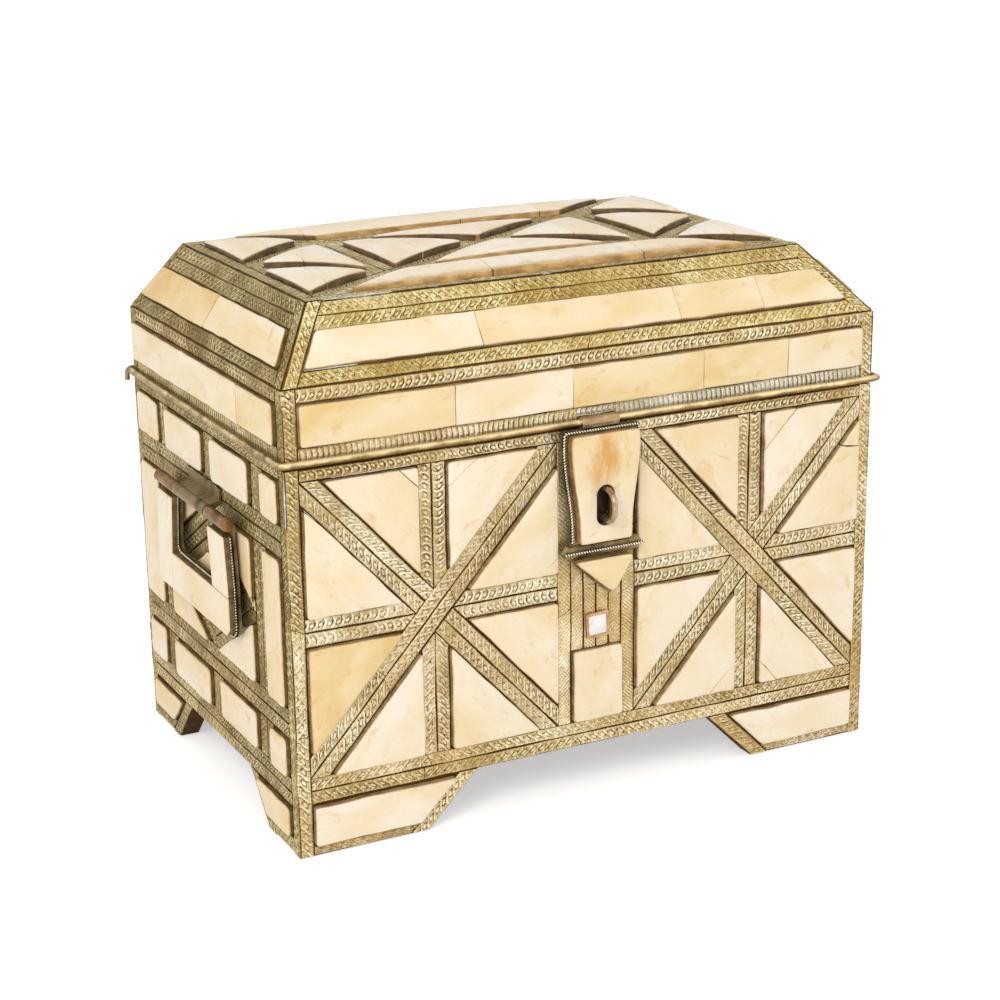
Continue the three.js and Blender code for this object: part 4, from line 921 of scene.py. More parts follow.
def archedOutline(half, foot, apron, top):
    floor, arch = foot["floor"] / 2, foot["arch"] / 2
    return np.array([(-half, 0), (-floor, 0), (-arch, apron), (arch, apron), (floor, 0), (half, 0), (half, top),
                     (-half, top)], float)


def lidOutline(name, depth, kind):
    i = sideNames.index(name)
    onRight, onLeft = sideNames[(i + 1) % 4], sideNames[(i + 3) % 4]
    if kind == "wall":
        lines = [np.array([0, -1, body["lidBottom"]])]
        lines += [cutBy(walls[name], other, depth) for other in (walls[onRight], slopes[name], walls[onLeft])]
    else:
        near = (walls[name], slopes[onRight], plateau, slopes[onLeft])
        lines = [cutBy(slopes[name], other, depth) for other in near]
    return insetOutline(outlineOf(lines), np.array([0 if kind == "wall" else 1, 1, 1, 1]) * body["mitreGap"])


skin = body["skin"]
for name in sideNames:
    key, half = ("front", halfW) if name in ("front", "back") else ("side", halfD)
    foot, apron, reach = layout[f"{key}Foot"], layout[f"{key}Apron"], half - body["mitreGap"] - skin
    surface = newSurface()
    addLoft(surface, walls[name], [
        (archedOutline(reach - depth, foot, apron, body["baseTop"]), -skin - depth)
        for depth in (body["baseBoard"], 0)])
    makePiece(f"{name}_wall", surface, "chest", finish["wood"], [f"{name}_board"])
    for kind, faces, node in (("wall", walls, "board"), ("slope", slopes, "slope")):
        surface = newSurface()
        addLoft(surface, faces[name], [(lidOutline(name, depth, kind), depth)
                                       for depth in (-skin - body["lidBoard"], -skin)])
        makePiece(f"lid_{name}_{kind}_wood", surface, "lid", finish["lidWood"],
                  [f"lid_{name}_{node}"])

frontCuts = {  # slanting joints seen on the front bones, by cell, each as two points of its line
    4: [((-97.2, 216.2), (-83.9, 226.5))], 5: [((-42.3, 147.6), (-27.4, 160.1))],
    6: [((-189.5, 213.3), (-178.6, 202.5))], 7: [((-130.3, 228.9), (-118.9, 217.5))],
    8: [((80.2, 50.6), (100.2, 69.8))], 11: [((118.3, 65.2), (133.0, 48.3))],
    12: [((119.7, 206.9), (140.5, 228.0))], 13: [((178.8, 199.6), (190.6, 197.9))],
}
frontParts = frontCells(False)
for index, lines in frontCuts.items():
    frontParts[index]["cuts"] = lines
boneTones = {  # yellower above 0, for each bone in the order of cutting
    "front": [-0.3, 1.8, 0.0, -0.2, -0.9, -0.7, 0.0, -0.5, -0.2, -0.1, -0.3, 0.7, -0.4, 0.0, -0.2, -0.6,
              -0.6, -0.2, -0.4, -0.2, 0.6, -0.1, -0.0, 0.3, -0.1, -0.7, -0.7],
    "left": [0.2, 0.2, 0.6, 0.7, 0.1, 0.4, 1.0, 1.0, -0.1, 0.9, 0.2, 0.3, -0.5, -0.9, 0.5, 0.7, 0.8],
    "lid_front": [1.3, -0.3, 0.8, 1.4, -0.2],
    "lid_front_slope": [-0.3, 0.6, 0.7, 0.7],
    "lid_left": [-0.0, -0.2, 0.8],
    "lid_left_slope": [1.9, 0.1],
}


def addFace(name, face, cells, ribbonSets, bodyName, replacedStrips, detail=1.0, reach=2.2, rise=None):
    surface = newSurface()
    tones = cycle(boneTones[name.replace("back", "front").replace("right", "left")])
    addBones(surface, face, cells, tones, reach=reach, rise=rise)
    onSide = name.endswith(("left", "right", "left_slope", "right_slope"))
    makePiece(f"{name}_bones", surface, bodyName, finish["shadedSideBone" if onSide else "bone"])
    closer = 0.2 if name.startswith("lid") else 0  # the gaps on the lid are finer
    metals = {"ladder_strips": "tinStrips", "cross_strips": "paleStrips"}
    usual = "goldStrips" if name.endswith("slope") else "strips"
    for i, (label, ribbons) in enumerate(ribbonSets.items()):
        surface = newSurface()
        for p, q, width, keep, *die in ribbons:
            addRibbon(surface, face, p, q, width + closer, keep, detail, *die)
        metal = finish["darkStrips" if onSide else metals.get(label, usual)]
        replaced = [] if i else [replacedStrips]
        makePiece(f"{name}_{label}", surface, bodyName, metal, replaced)


for name in ("front", "back"):
    crosses = crossRibbons(*panels[0], name == "front") + crossRibbons(*panels[1], name == "back")
    ribbonSets = {"border_strips": frontBorder(name == "back"), "cross_strips": crosses}
    addFace(name, walls[name], frontCells(True) if name == "back" else frontParts, ribbonSets, "chest",
            f"{name}_strips", 1.0 if name == "front" else 1.2)
leftSide, leftParts = leftRibbons(), leftCells()
rightParts = [{"outline": mirrored(cell["outline"])} for cell in leftParts]
for name, cells, ribbons, detail in (("left", leftParts, leftSide, 1.05),
                                     ("right", rightParts, mirroredRibbons(leftSide), 1.2)):
    addFace(name, walls[name], cells, {"brass_strips": ribbons}, "chest", f"{name}_strips", detail, 4.0, 2.6)
for name in sideNames:
    detail = 1.0 if name in ("front", "left") else 1.2
    ribbons = lidWallRibbons(name)
    ladders = [ribbon for ribbon in ribbons if "ladder" in ribbon and ribbon[1][0] > 0]  # the tinned lengths
    others = [ribbon for ribbon in ribbons if ribbon not in ladders]
    ribbonSets = {"brass_strips": others, "ladder_strips": ladders}
    addFace(f"lid_{name}", walls[name], lidWallCells(name), ribbonSets, "lid", f"lid_{name}_strips", detail)
    addFace(f"lid_{name}_slope", slopes[name], slopeCells(name), {"brass_strips": slopeRibbons(name)}, "lid",
            f"lid_{name}_slope_strips", detail)
surface = newSurface()
for p, q, width, keep in topRibbons():
    addRibbon(surface, plateau, p, q, width, keep, 1.15)
makePiece("lid_top_brass_strips", surface, "lid", finish["topStrips"], ["lid_top_strips"])
topPlaque = {"rise": 4.7, "crown": 1.5, "bevel": 0.9, "reach": 2.6, "rough": 0.5, "tone": -0.8}
topJoints = {
    "front_long": [-37, 66], "back_long": [-100, 10, 69], "front_inner": [], "back_inner": [4],
    "left_inner": [-55], "right_inner": [53], "left_outer": [-129.5], "right_outer": [117],
    "front_left_border": [-137.5], "back_left_border": [-135.5], "front_right_border": [142],
    "back_right_border": [148],
}
for label, outline in topCells().items():
    surface = newSurface()
    low, high = outline.min(0), outline.max(0)
    dome = {"middle": (low + high) / 2, "half": (high - low) / 2, "drop": 2.5, "weight": [0.65, 0.35]}
    lines = [((x, 0), (x + 2, 30)) for x in topJoints[label]]
    for shape, joints in splitOutline(insetOutline(outline, bone["gap"]), lines):
        # the long one is rounded off in front
        topPlaque["frontShare"], topPlaque["worn"] = (5.0, 0.35) if label == "front_long" else (1.6, 0.0)
        addPlaque(surface, plateau, shape, joints, dome=dome, **topPlaque)
    makePiece(f"top_bone_{label}", surface, "lid", finish["topBone"], [f"top_plaque_{label}"])
print("faces covered")


def unit(vectors):
    return vectors / np.linalg.norm(vectors, axis=1)[:, None]


def lengthAlong(path):
    return np.concatenate([[0], np.cumsum(np.linalg.norm(np.diff(path, axis=0), axis=1))])


# A tube follows a path: at each point a circle stands across it, in the plane of a side and an up vector
def addTube(surface, path, radius, sides=20, up=(0, 0, 1), caps=True, edge=1.0):
    path = np.array(path, float)
    tangent = unit(np.gradient(path, axis=0))
    up = np.broadcast_to(np.array(up, float), path.shape)
    side = unit(np.cross(up, tangent))
    top = np.cross(tangent, side)
    angle = np.linspace(0, 2 * np.pi, sides, endpoint=False)
    radius = np.broadcast_to(radius, len(path))[:, None, None]
    ring = side[:, None] * np.cos(angle)[None, :, None] + top[:, None] * np.sin(angle)[None, :, None]
    grid = path[:, None] + ring * radius
    uv = np.stack(np.broadcast_arrays(lengthAlong(path)[:, None] / 1000, angle[None] * 0.001), -1)
    addGrid(surface, grid, uv, 0.0, edge, wrap=True, caps=caps, flip=True)


def resample(path, step):
    path = np.array(path, float)
    far = lengthAlong(path)
    want = np.linspace(0, far[-1], max(2, int(far[-1] / step) + 1))
    return np.stack([np.interp(want, far, path[:, k]) for k in range(3)], 1), want


# Two strands wind round a path in a flat face: each strand's centre circles it once a pitch
def addTwist(surface, path, out, radius, pitch=3.6, step=0.3, sides=7):
    fine, far = resample(path, step)
    kernel = np.ones(5) / 5
    soft = np.stack([np.convolve(np.pad(fine[:, k], 2, "edge"), kernel, "valid") for k in range(3)], 1)
    side = np.cross(out, unit(np.gradient(soft, axis=0)))
    angle = np.linspace(0, 2 * np.pi, sides, endpoint=False)
    for start in (0, np.pi):
        turn = far / pitch * 2 * np.pi + start
        reach = side * np.cos(turn)[:, None] + out * np.sin(turn)[:, None]
        strand = soft + reach * radius * 0.5
        onTop = (reach @ out)[:, None]
        onSide = (reach * side).sum(1)[:, None]
        # the edge value paints a highlight where a strand turns outwards and shade where the strands meet
        outwardness = 0.5 + 0.5 * (np.cos(angle)[None] * onSide + np.sin(angle)[None] * onTop)
        addTube(surface, strand, radius * 0.55, sides, out, True, outwardness * np.clip(0.25 + onTop, 0, 1))


# The rod along three sides of the lid's lower edge
moulding = {"radius": 2.1, "height": 241.0, "out": 2.7, "endGap": 1.0, "bends": 8, "sides": 20}
endY = halfD - moulding["endGap"] + shiftY
path = [[(-halfW - moulding["out"], endY)]]
for s, first in ((-1, 180), (1, 270)):
    angle = np.radians(np.linspace(first, first + 90, moulding["bends"] + 1))[:, None]
    path.append(np.array([s * halfW, -halfD + shiftY]) + moulding["out"] * np.cos(angle) * [1, 0]
                + moulding["out"] * np.sin(angle) * [0, 1])
path = np.concatenate([*path, [(halfW + moulding["out"], endY)]])
path = np.column_stack([path, np.full(len(path), moulding["height"])])
path, far = resample(path, 4.0)
path[:, 2] += 0.12 * np.sin(far / 37) + 0.08 * np.sin(far / 13)  # bent by hand
surface = newSurface()
around = np.linspace(0, 360, moulding["sides"], endpoint=False)
litAndRubbedSide = 0.5 + 0.5 * np.cos(np.radians(around - 125))  # outwards and up, where the painted highlight and the worn brightness go
litAndRubbedPart = np.where(np.abs(path[:, 0]) > halfW + 1, 0.85, 1)[:, None]  # less of both at the sides
addTube(surface, path, moulding["radius"], moulding["sides"], edge=litAndRubbedSide * litAndRubbedPart)
makePiece("lid_rod", surface, "lid", finish["golden"], ["lid_moulding"])

# Grey beads of solder along a few seams, as (face, from, to, depth, radius)
seams = {
    "chest": [(walls["front"], (-172, 230.2), (-122, 230.2), -0.2, 0.55),
              (walls["left"], (129.4, 204), (129.6, 233), -0.3, 0.6)],
    "lid": [(slopes["front"], (-183, 9.7), (-150, 9.7), -0.1, 0.6),
            (slopes["front"], (-161, 50.4), (-117, 50.4), -0.2, 0.85)],
}
for bodyName, lines in seams.items():
    surface = newSurface()
    for face, start, end, depth, thick in lines:
        share = np.linspace(0, 1, 40)
        flat = np.array(start) + share[:, None] * np.subtract(end, start) + rng.normal(0, 0.07, (40, 2))
        lumpy = thick * np.sin(np.pi * share) ** 0.3 * rng.uniform(0.7, 1, 40)
        addTube(surface, place(face, flat[:, 0], flat[:, 1], depth), np.maximum(lumpy, 0.05), 8, face["out"])
    makePiece(f"{bodyName}_solder_seams", surface, bodyName, finish["solder"], (), 60)


# A closed outline with points about every so many millimetres, its corners softened
def denseLoop(corners, spacing=1.5, passes=2):
    points = []
    for p, q in sidesOf(np.array(corners, float)):
        count = max(1, int(np.hypot(*(q - p)) / spacing))
        points.append(p + (q - p) * np.linspace(0, 1, count, endpoint=False)[:, None])
    points = np.concatenate(points)
    for _ in range(passes):
        points = (np.roll(points, 1, 0) + 2 * points + np.roll(points, -1, 0)) / 4
    return points


def grown(loop, distance):  # moves every point along the outline's outward normal
    run = np.roll(loop, -1, 0) - np.roll(loop, 1, 0)
    return loop + np.stack([run[:, 1], -run[:, 0]], 1) / np.hypot(*run.T)[:, None] * distance


hasp = {  # the profile gives half the plate's width at some heights, and pairs are (from, to)
    "profile": [(167.5, 18.7), (178, 18.5), (197, 20.7), (215, 23.2), (235, 23.7)], "profilePoints": 30,
    "margin": 2.9, "top": 238.0, "boneSpan": (167.5, 235), "rimSpan": (168.0, 236.6), "rimCorner": (24, 236.8),
    "plate": (4.4, 6.0), "bone": (6.3, 12.2), "slotMiddle": 190.5, "slotHalf": 6.0, "slotReach": 6.5,
    "bar": (158.0, 167.0), "barHalf": 24.6, "earHalf": 28.0, "barRise": 2.2, "barBevel": 2.6,
    "tip": (157.0, 131.5), "tipHalf": 23.5, "tipLean": 6.0, "wire": 0.9, "barWire": (162.5, 9.4, 27.2),
    "leftIn": 1.3, "axis": (241.0, 2.7), "knuckle": (12.5, 3.5),
}
front = walls["front"]
fit = np.polyfit(*np.array(hasp["profile"]).T, 3)


def haspSides(margin, low, high):
    v = np.linspace(low, high, hasp["profilePoints"])
    side = np.stack([np.polyval(fit, v) + margin, v], 1)
    return np.concatenate([side, (side * [-1, 1])[::-1]])


def slotAround(loop, spare):  # the slot's outline, one point for each point of a loop around it
    angle = np.arctan2(loop[:, 1] - hasp["slotMiddle"], loop[:, 0])
    c, s = np.abs(np.cos(angle)), np.abs(np.sin(angle))
    half, reach = hasp["slotHalf"] + spare, hasp["slotReach"]
    straight = half / np.maximum(c, 1e-6)
    curved = reach * s + np.sqrt(np.maximum(half ** 2 - (reach * c) ** 2, 0))
    radius = np.where(straight * s <= reach, straight, curved)
    return np.stack([radius * np.cos(angle), hasp["slotMiddle"] + radius * np.sin(angle)], 1)


loop = denseLoop(haspSides(0, *hasp["boneSpan"]), 1.4, 2)
loop[:, 0] += hasp["leftIn"] * np.clip(-loop[:, 0] / 12, 0, 1)  # the bone sits off centre on its plate
low, high = hasp["bone"]
rings, edges = [], []  # up the outer side, across the top, and down into the slot
for inward, up, edge in ((0, low, -1), (0, high - 1.6, -0.5), (0.35, high - 0.7, 0), (1.0, high - 0.15, 0.3),
                         (2.0, high, 0.75)):
    rings.append((grown(loop, -inward), up))
    edges.append(edge)
for share in (0.3, 0.6):
    rings.append((grown(loop, -2) * (1 - share) + slotAround(loop, 1.2) * share, high - 0.1))
    edges.append(1)
for spare, up, edge in ((1.2, high - 0.2, 0.6), (0.3, high - 0.6, 0.1), (0, high - 1.6, -0.5), (0, low, -1)):
    rings.append((slotAround(loop, spare), up))
    edges.append(edge)
surface = newSurface()
addLoft(surface, front, rings, False, edges)
makePiece("hasp_bone_carved", surface, "hasp", finish["haspBone"], ["hasp_bone"])

surface = newSurface()
tipHigh, tipLow = hasp["tip"]
tipShape = np.array([(-hasp["tipHalf"] + 2.6, tipHigh), (hasp["tipLean"], tipLow + 2.2),
                     (hasp["tipHalf"] - 2.6, tipHigh)])
addPlaque(surface, front, tipShape, reach=4.5, rise=hasp["bone"][1] - 0.6, bevel=1.2, base=hasp["bone"][0],
          rough=0.4)
makePiece("hasp_tip_carved", surface, "hasp", finish["haspBone"], ["hasp_tip_bone"])

surface = newSurface()
backOut, frontOut = hasp["plate"]
loop = denseLoop(haspSides(hasp["margin"], hasp["bar"][0], hasp["top"]), 1.6, 1)
addLoft(surface, front, [(loop, backOut), (loop, frontOut), (slotAround(loop, 0), frontOut),
                         (slotAround(loop, 0), backOut)], False)
barLow, barHigh = hasp["bar"]
mid, barHalf, earHalf = (barLow + barHigh) / 2, hasp["barHalf"], hasp["earHalf"]
ears = np.array([(-earHalf, mid), (-barHalf, barLow), (barHalf, barLow), (earHalf, mid), (barHalf, barHigh),
                 (-barHalf, barHigh)])
addLoft(surface, front, [(ears, backOut), (ears, frontOut),
                         (insetOutline(ears, hasp["barBevel"] * 0.5), frontOut + 1.7),
                         (insetOutline(ears, hasp["barBevel"]), frontOut + hasp["barRise"])])
tipHalf, tipUp = hasp["tipHalf"], barLow + 1
tip = denseLoop([(-tipHalf, tipUp), (hasp["tipLean"], tipLow), (tipHalf, tipUp)], 1.5, 4)
addSheet(surface, front, tip, backOut, frontOut)
tabHalf, radius = hasp["knuckle"]
axisUp, axisOut = hasp["axis"]
tab = rectangle(-tabHalf, hasp["top"] - 1, tabHalf, axisUp)
addSheet(surface, front, tab, backOut, frontOut)
makePiece("hasp_backing", surface, "hasp", finish["dull"], ["hasp_plate"], 30)
surface = newSurface()
addTube(surface, place(front, np.linspace(-tabHalf, tabHalf, 6), axisUp, axisOut), radius, 28)
makePiece("hasp_knuckle_tube", surface, "hasp", finish["tube"], (), 30)

surface = newSurface()
rim = haspSides(2.0, *hasp["rimSpan"])
rim[:hasp["profilePoints"], 0] -= 1.0
cornerReach, cornerUp = hasp["rimCorner"]
path = np.insert(rim, hasp["profilePoints"], [[cornerReach, cornerUp], [-cornerReach, cornerUp]], axis=0)
path, _ = resample(place(front, path[:, 0], path[:, 1], hasp["bone"][0] + hasp["wire"]), 1.2)
addTwist(surface, path, front["out"], hasp["wire"])
makePiece("hasp_twisted_rim", surface, "hasp", finish["wire"], ["hasp_rim_wire"], 60)
surface = newSurface()
barUp, barOut, barReach = hasp["barWire"]
path = place(front, np.array([-barReach, 0.0, barReach]), barUp, barOut)
addTwist(surface, path, front["out"], hasp["wire"])
makePiece("hasp_twisted_bar", surface, "hasp", finish["wire"], ["hasp_bar_wire"], 60)

# Wire loop through the slot, its legs through the board and clinched inside
staple = {"up": 191.0, "spread": 9.6, "reach": 13.0, "wire": 1.8, "inside": -15.7, "clinch": 8.0, "bend": 2.5}
angle = np.radians(np.linspace(0, 90, 7))
bendUp = staple["spread"] + staple["bend"] - staple["bend"] * np.sin(angle)
bendOut = staple["inside"] + staple["bend"] * (1 - np.cos(angle))
half = np.radians(np.linspace(0, 180, 25))
clinched = [[staple["spread"] + staple["clinch"], staple["inside"]]]
upper = np.concatenate([clinched, np.stack([bendUp, bendOut], 1)])
arch = np.stack([staple["spread"] * np.cos(half), staple["reach"] + staple["spread"] * np.sin(half)], 1)
path = np.concatenate([upper, arch, (upper * [-1, 1])[::-1]])
surface = newSurface()
addTube(surface, place(front, 0.0, staple["up"] + path[:, 0], path[:, 1]), staple["wire"], 20, (1, 0, 0))
makePiece("staple_loop", surface, "chest", finish["ring"], ["hasp_staple"])

# Tile and its rim, a little crooked
tile = {"up": 111.5, "frame": 16.0, "rim": 1.7, "turn": 3.0, "out": (0.3, 2.2), "glass": 1.9}
turn = math.radians(tile["turn"])
spin = np.array([[math.cos(turn), math.sin(turn)], [-math.sin(turn), math.cos(turn)]])


def tileLoop(half):
    return denseLoop(rectangle(-half, -half, half, half), 0.15 * half, 1) @ spin + [0, tile["up"]]


outer, inner = tileLoop(tile["frame"] / 2), tileLoop(tile["frame"] / 2 - tile["rim"])
surface = newSurface()
low, high = tile["out"]
addLoft(surface, front, [(outer, low), (outer, high - 0.3), (grown(outer, -0.4), high),
                         (grown(inner, 0.4), high), (inner, high - 0.3), (inner, low)], False)
makePiece("tile_copper_rim", surface, "chest", finish["rimBrass"], ["tile_rim"])
surface = newSurface()
glass = grown(inner, -0.1)
addLoft(surface, front, [(glass, low), (glass, tile["glass"] - 0.3), (grown(glass, -0.4), tile["glass"])])
makePiece("tile_white", surface, "chest", finish["glass"], ["tile"])

# A bail's numbers: heights, widths from its middle and distances from the wall
bail = {
    "rod": (188.0, 9.0), "rodRadius": 2.0, "knuckle": 4.0, "plate": (5.0, 6.6), "bone": (6.9, 12.4),
    "top": 181.0, "shoulder": 148.75, "bottom": 116.5, "barTop": 146.0, "outerTop": 61.5, "outer": 65.0,
    "innerTop": 29.5, "inner": 34.0, "corner": 6.0, "strapHalf": 26.7, "gap": 0.6, "wire": 0.8,
    "sheet": 1.2, "root": 191.0, "bend": 193.5, "strapTop": 202.0,
}


def bailLine(margin, inner):  # half of the outer or the inner edge, from the top down to the middle
    if inner:
        return np.array([(bail["innerTop"] + margin, bail["top"]),
                         (bail["inner"] + margin, bail["barTop"] + 3 - margin),
                         (bail["inner"] - 3, bail["barTop"] - margin)])
    return np.array([(bail["outerTop"] - margin, bail["top"]), (bail["outer"] - margin, bail["shoulder"]),
                     (bail["outer"] - margin, bail["bottom"] + bail["corner"]),
                     (bail["outer"] - bail["corner"], bail["bottom"] + margin)])


def wholeLine(half):
    return np.concatenate([half * [-1, 1], half[::-1]])


upRod, outRod = bail["rod"]
for side in ("left", "right"):
    face, swinging = walls[side], f"handle_{side}"
    outline = np.concatenate([wholeLine(bailLine(0, False)), wholeLine(bailLine(0, True))[::-1]])
    surface = newSurface()
    loop = denseLoop(outline, 3.0, 1)
    addSheet(surface, face, loop, *bail["plate"])
    start = bail["strapHalf"] + bail["gap"]
    for s in (-1, 1):
        near, far = sorted((s * start, s * bail["outerTop"]))
        tab = rectangle(near, bail["top"] - 1, far, upRod)
        addSheet(surface, face, tab, *bail["plate"])
    makePiece(f"{side}_bail_backing", surface, swinging, finish["dull"],
              [f"handle_{side}_bail"], 30)
    surface = newSurface()
    for s in (-1, 1):
        u = np.sort([s * start, s * bail["outerTop"]])
        share = np.array([0, 0.01, 0.03, 0.15, 0.3, 0.5, 0.7, 0.85, 0.97, 0.99, 1])
        path = place(face, u[0] + share * (u[1] - u[0]), upRod + 0.1 * np.sin(7 * share), outRod)
        radius = bail["knuckle"] - 0.2 * rng.uniform(0, 1, 11)
        radius[[0, 1, -2, -1]] -= [1.1, 0.3, 0.3, 1.1]
        addTube(surface, path, radius, 28)
    makePiece(f"{side}_bail_knuckles", surface, swinging, finish["copper"])
    surface = newSurface()
    rodHalf = bail["outerTop"] - bail["gap"]
    addTube(surface, place(face, np.linspace(-rodHalf, rodHalf, 5), upRod, outRod), bail["rodRadius"], 20)
    makePiece(f"{side}_handle_rod", surface, "chest", finish["golden"],
              [f"handle_{side}_rod"])
    # the fixed sheet: rolled round the rod, and bent back to the wall
    surface = newSurface()
    knuckle, half = bail["knuckle"], bail["strapHalf"]
    edgeOn = np.array([(0.3, bail["root"]), (outRod - knuckle + 0.8, upRod), (outRod, upRod + knuckle - 0.8),
                       (0.3 + bail["sheet"], bail["bend"]), (0.3 + bail["sheet"], bail["strapTop"]),
                       (0.3, bail["strapTop"])])
    u = np.linspace(-half, half, 28)
    ragged = np.zeros((28, 6))
    ragged[:, 4:] = -np.abs(rng.normal(0, 0.9, 28))[:, None]
    grid = place(face, u[:, None] + 0 * ragged, edgeOn[None, :, 1] + ragged, edgeOn[None, :, 0] + 0 * ragged)
    addGrid(surface, grid, np.zeros(2), 0.0, 0.0, wrap=True, caps=True)
    radius = knuckle - 0.15 * rng.uniform(0, 1, 9)
    addTube(surface, place(face, np.linspace(-half, half, 9), upRod, outRod), radius, 28)
    makePiece(f"{side}_handle_strap", surface, "chest", finish["dull"],
              [f"handle_{side}_strap"], 30)
    # three bones: one arm runs the full height, the other stands on the bar
    surface = newSurface()
    margin = 2.4
    topY, lowY, barY = bail["top"], bail["bottom"] + margin, bail["barTop"] - margin
    outTop, out, corner = bail["outerTop"] - margin, bail["outer"] - margin, bail["corner"] - 1
    innerTop, inner = bail["innerTop"] + margin, bail["inner"] + margin
    shapes = [
        [(-out + corner, lowY), (-inner - 3.2, lowY), (-innerTop, topY), (-outTop, topY),
         (-out, bail["shoulder"]), (-out, lowY + corner)],
        [(-inner - 3.0, lowY), (out - corner, lowY), (out, lowY + corner), (out, barY), (-inner - 0.1, barY)],
        [(inner, barY + 0.25), (out, barY + 0.25), (out, bail["shoulder"]), (outTop, topY), (innerTop, topY)],
    ]
    for shape in shapes:
        addPlaque(surface, face, np.array(shape), reach=1.2, rise=bail["bone"][1] - 0.1, bevel=0.8,
                  base=bail["bone"][0], rough=0.3)
    makePiece(f"{side}_bail_bones", surface, swinging, finish["shadedSideBone"], [f"handle_{side}_bone"])
    surface = newSurface()
    for isInner in (False, True):
        line = wholeLine(bailLine(1.1, isInner))
        path, _ = resample(place(face, line[:, 0], line[:, 1], bail["bone"][0] + bail["wire"]), 1.2)
        addTwist(surface, path, face["out"], bail["wire"])
    makePiece(f"{side}_bail_twisted_rims", surface, swinging, finish["wire"], (), 60)

# The long hinge at the back: two leaves whose knuckles take turns on one pin
hinge = {
    "length": 390.0, "knuckles": 9, "radius": 3.55, "axis": (241.0, 4.1), "pin": 1.7, "past": 4.5, "bend": 3.5,
    "tail": 4.0, "leaf": (0.3, 1.5), "base": (230.0, 237.1), "lid": (249.3, 244.9), "tooth": 0.7,
    "leafGap": 0.4, "knuckleGap": 0.2, "toothGap": 0.8, "toothIn": 0.02,
}
backWall = walls["back"]
upPin, outPin = hinge["axis"]
leafIn, leafOut = hinge["leaf"]
edges = np.linspace(-hinge["length"] / 2, hinge["length"] / 2, hinge["knuckles"] + 1)
for leaf, first, bodyName in (("base", 0, "chest"), ("lid", 1, "lid")):
    surface = newSurface()
    far, near = hinge[leaf]
    sheet = rectangle(edges[first] + hinge["leafGap"], min(far, near),
                      edges[-1 - first] - hinge["leafGap"], max(far, near))
    addSheet(surface, backWall, sheet, leafIn, leafOut)
    toothEnd = upPin + hinge["tooth"] * (1 if leaf == "base" else -1)
    for i in range(first, hinge["knuckles"], 2):
        u0, u1 = edges[i] + hinge["knuckleGap"], edges[i + 1] - hinge["knuckleGap"]
        spare = hinge["toothGap"]
        tooth = rectangle(u0 + spare, min(near, toothEnd), u1 - spare, max(near, toothEnd))
        addSheet(surface, backWall, tooth, leafIn + hinge["toothIn"], leafOut - hinge["toothIn"])
        addTube(surface, place(backWall, np.linspace(u0, u1, 4), upPin, outPin), hinge["radius"], 28)
    makePiece(f"hinge_{leaf}_half", surface, bodyName, finish["dull"],
              [f"hinge_leaf_{leaf}"], 30)
end, angle = hinge["length"] / 2 + hinge["past"], np.radians(np.linspace(0, 90, 9))
bend = np.stack([end + hinge["bend"] * np.cos(angle), -hinge["bend"] + hinge["bend"] * np.sin(angle)], 1)
tail = np.concatenate([[[end + hinge["bend"], -hinge["bend"] - hinge["tail"]]], bend])
path = np.concatenate([tail, (tail * [-1, 1])[::-1]])
surface = newSurface()
addTube(surface, place(backWall, path[:, 0], upPin + path[:, 1], outPin), hinge["pin"], 20, backWall["out"])
makePiece("hinge_long_pin", surface, "chest", finish["ring"], ["hinge_pin"])

for node in ("floor_board", "lid_top_board"):
    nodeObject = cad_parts[node]
    nodeObject.data.materials.clear()
    nodeObject.data.materials.append(finish["lidWood" if node == "lid_top_board" else "wood"])
print("hasp, handles and hinge made")

# The camera was solved from the photo: angles in degrees, distance in mm, focal length and centre in pixels
shot = {"azimuth": -26.5135, "elevation": 17.3736, "roll": -0.9637, "distance": 1466.57, "focal": 2251.57,
        "target": (-13.67, 0.0, 154.24), "centre": (479.306, 504.96), "frame": 1000, "sensor": 36.0}
az, el, roll = (math.radians(shot[k]) for k in ("azimuth", "elevation", "roll"))
back = np.array([math.sin(az) * math.cos(el), -math.cos(az) * math.cos(el), math.sin(el)])
right = np.cross(-back, (0, 0, 1))
right /= np.linalg.norm(right)
upward = np.cross(right, -back)
rightTurned = math.cos(roll) * right + math.sin(roll) * upward
upTurned = -math.sin(roll) * right + math.cos(roll) * upward
eye = (np.array(shot["target"]) + [0, shiftY, 0] + back * shot["distance"]) / 1000
cameraData = bpy.data.cameras.new("camera")
cameraData.sensor_width = shot["sensor"]
cameraData.lens = shot["focal"] / shot["frame"] * shot["sensor"]
cameraData.shift_x = 0.5 - shot["centre"][0] / shot["frame"]
cameraData.shift_y = shot["centre"][1] / shot["frame"] - 0.5
camera = bpy.data.objects.new("camera", cameraData)
turned = np.eye(4)
turned[:3] = np.stack([rightTurned, upTurned, back, eye], 1)
camera.matrix_world = Matrix(turned.tolist())
bpy.context.scene.collection.objects.link(camera)
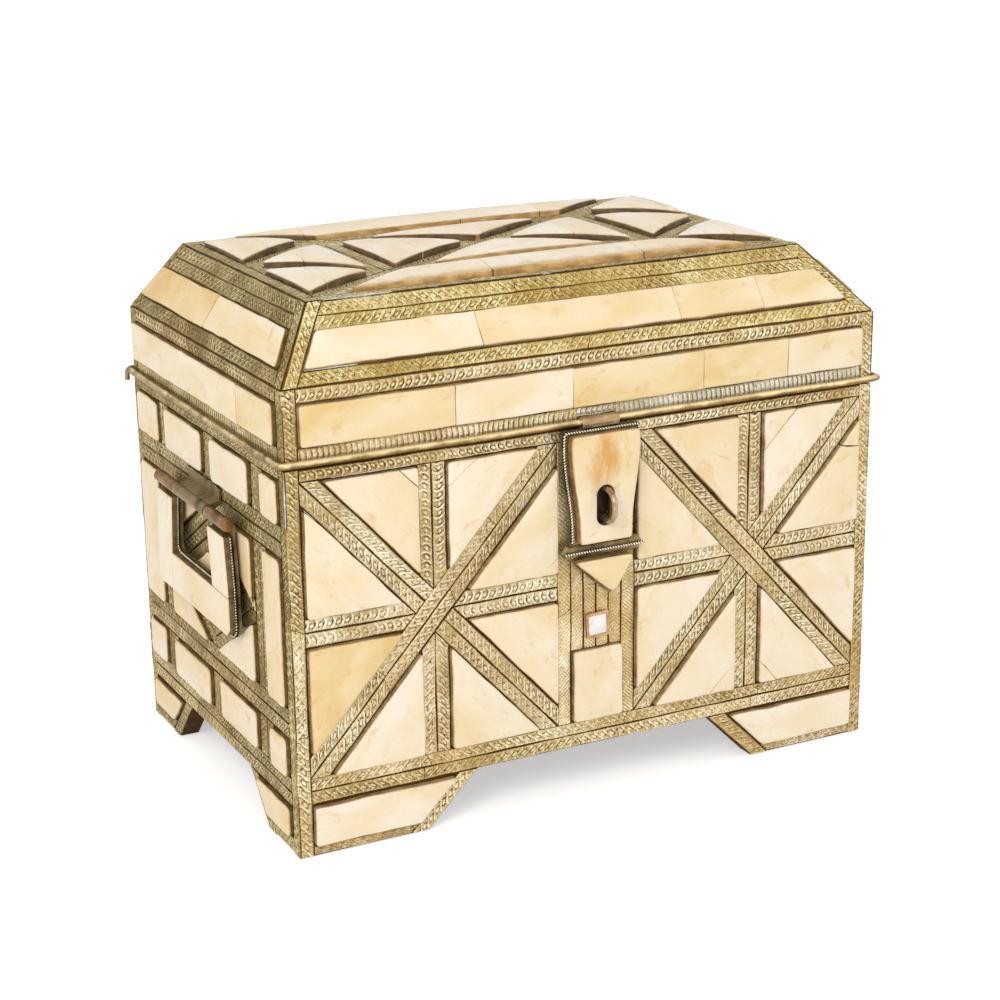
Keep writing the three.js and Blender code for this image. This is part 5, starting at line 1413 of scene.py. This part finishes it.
bpy.context.scene.camera = camera


def seenDirectly(add):  # 1 for camera, glossy and transmission rays
    rays = [add("LightPath", output=f"Is {ray} Ray") for ray in ("Camera", "Glossy", "Transmission")]
    return add("Math", [add("Math", rays[:2], operation="MAXIMUM"), rays[2]], operation="MAXIMUM")


light = {"world": 0.64, "key": 26.5, "fill": 7.5, "floorGlow": 0.5}
world = bpy.data.worlds.new("studio")
bpy.context.scene.world = world
world.use_nodes = True
world.node_tree.nodes.clear()
add = partial(addNode, world.node_tree)
soft, white = add("Background", ["#FFFDFA", light["world"]]), add("Background", ["#FDFDFD", 1.0])
add("OutputWorld", [add("MixShader", [seenDirectly(add), soft, white])])

floorMaterial, add = newMaterial("white studio sweep")
matt = add("BsdfPrincipled", {"Base Color": "#F2F2F2", "Roughness": 0.9})
glowing = add("AddShader", [matt, add("Emission", ["#FFFFFF", light["floorGlow"]])])
add("OutputMaterial", [add("MixShader", [seenDirectly(add), matt, glowing])])
floorMesh = bpy.data.meshes.new("floor")
floorHalf, floorDown = 8, 0.0005
floorCorners = rectangle(-floorHalf, -floorHalf, floorHalf, floorHalf)
floorMesh.from_pydata([(*corner, -floorDown) for corner in floorCorners], [], [(0, 1, 2, 3)])
floorMesh.materials.append(floorMaterial)
floor = bpy.data.objects.new("floor", floorMesh)
bpy.context.scene.collection.objects.link(floor)


def areaLight(name, spot, aim, size, power, colour="#FFFFFF"):
    data = bpy.data.lights.new(name, "AREA")
    data.shape, data.size, data.energy = "DISK", size, power
    data.color = srgb(colour)[:3]
    lamp = bpy.data.objects.new(name, data)
    lamp.location = spot
    lamp.rotation_mode = "QUATERNION"
    lamp.rotation_quaternion = (Vector(aim) - Vector(spot)).to_track_quat("-Z", "Y")
    bpy.context.scene.collection.objects.link(lamp)


areaLight("key", (-1.5, -1.5, 1.6), (0, 0, 0.15), 1.2, light["key"], "#FFFDF8")
areaLight("fill", (1.8, -1.3, 1.0), (0, 0, 0.15), 1.6, light["fill"])
print("camera, floor and lights set")
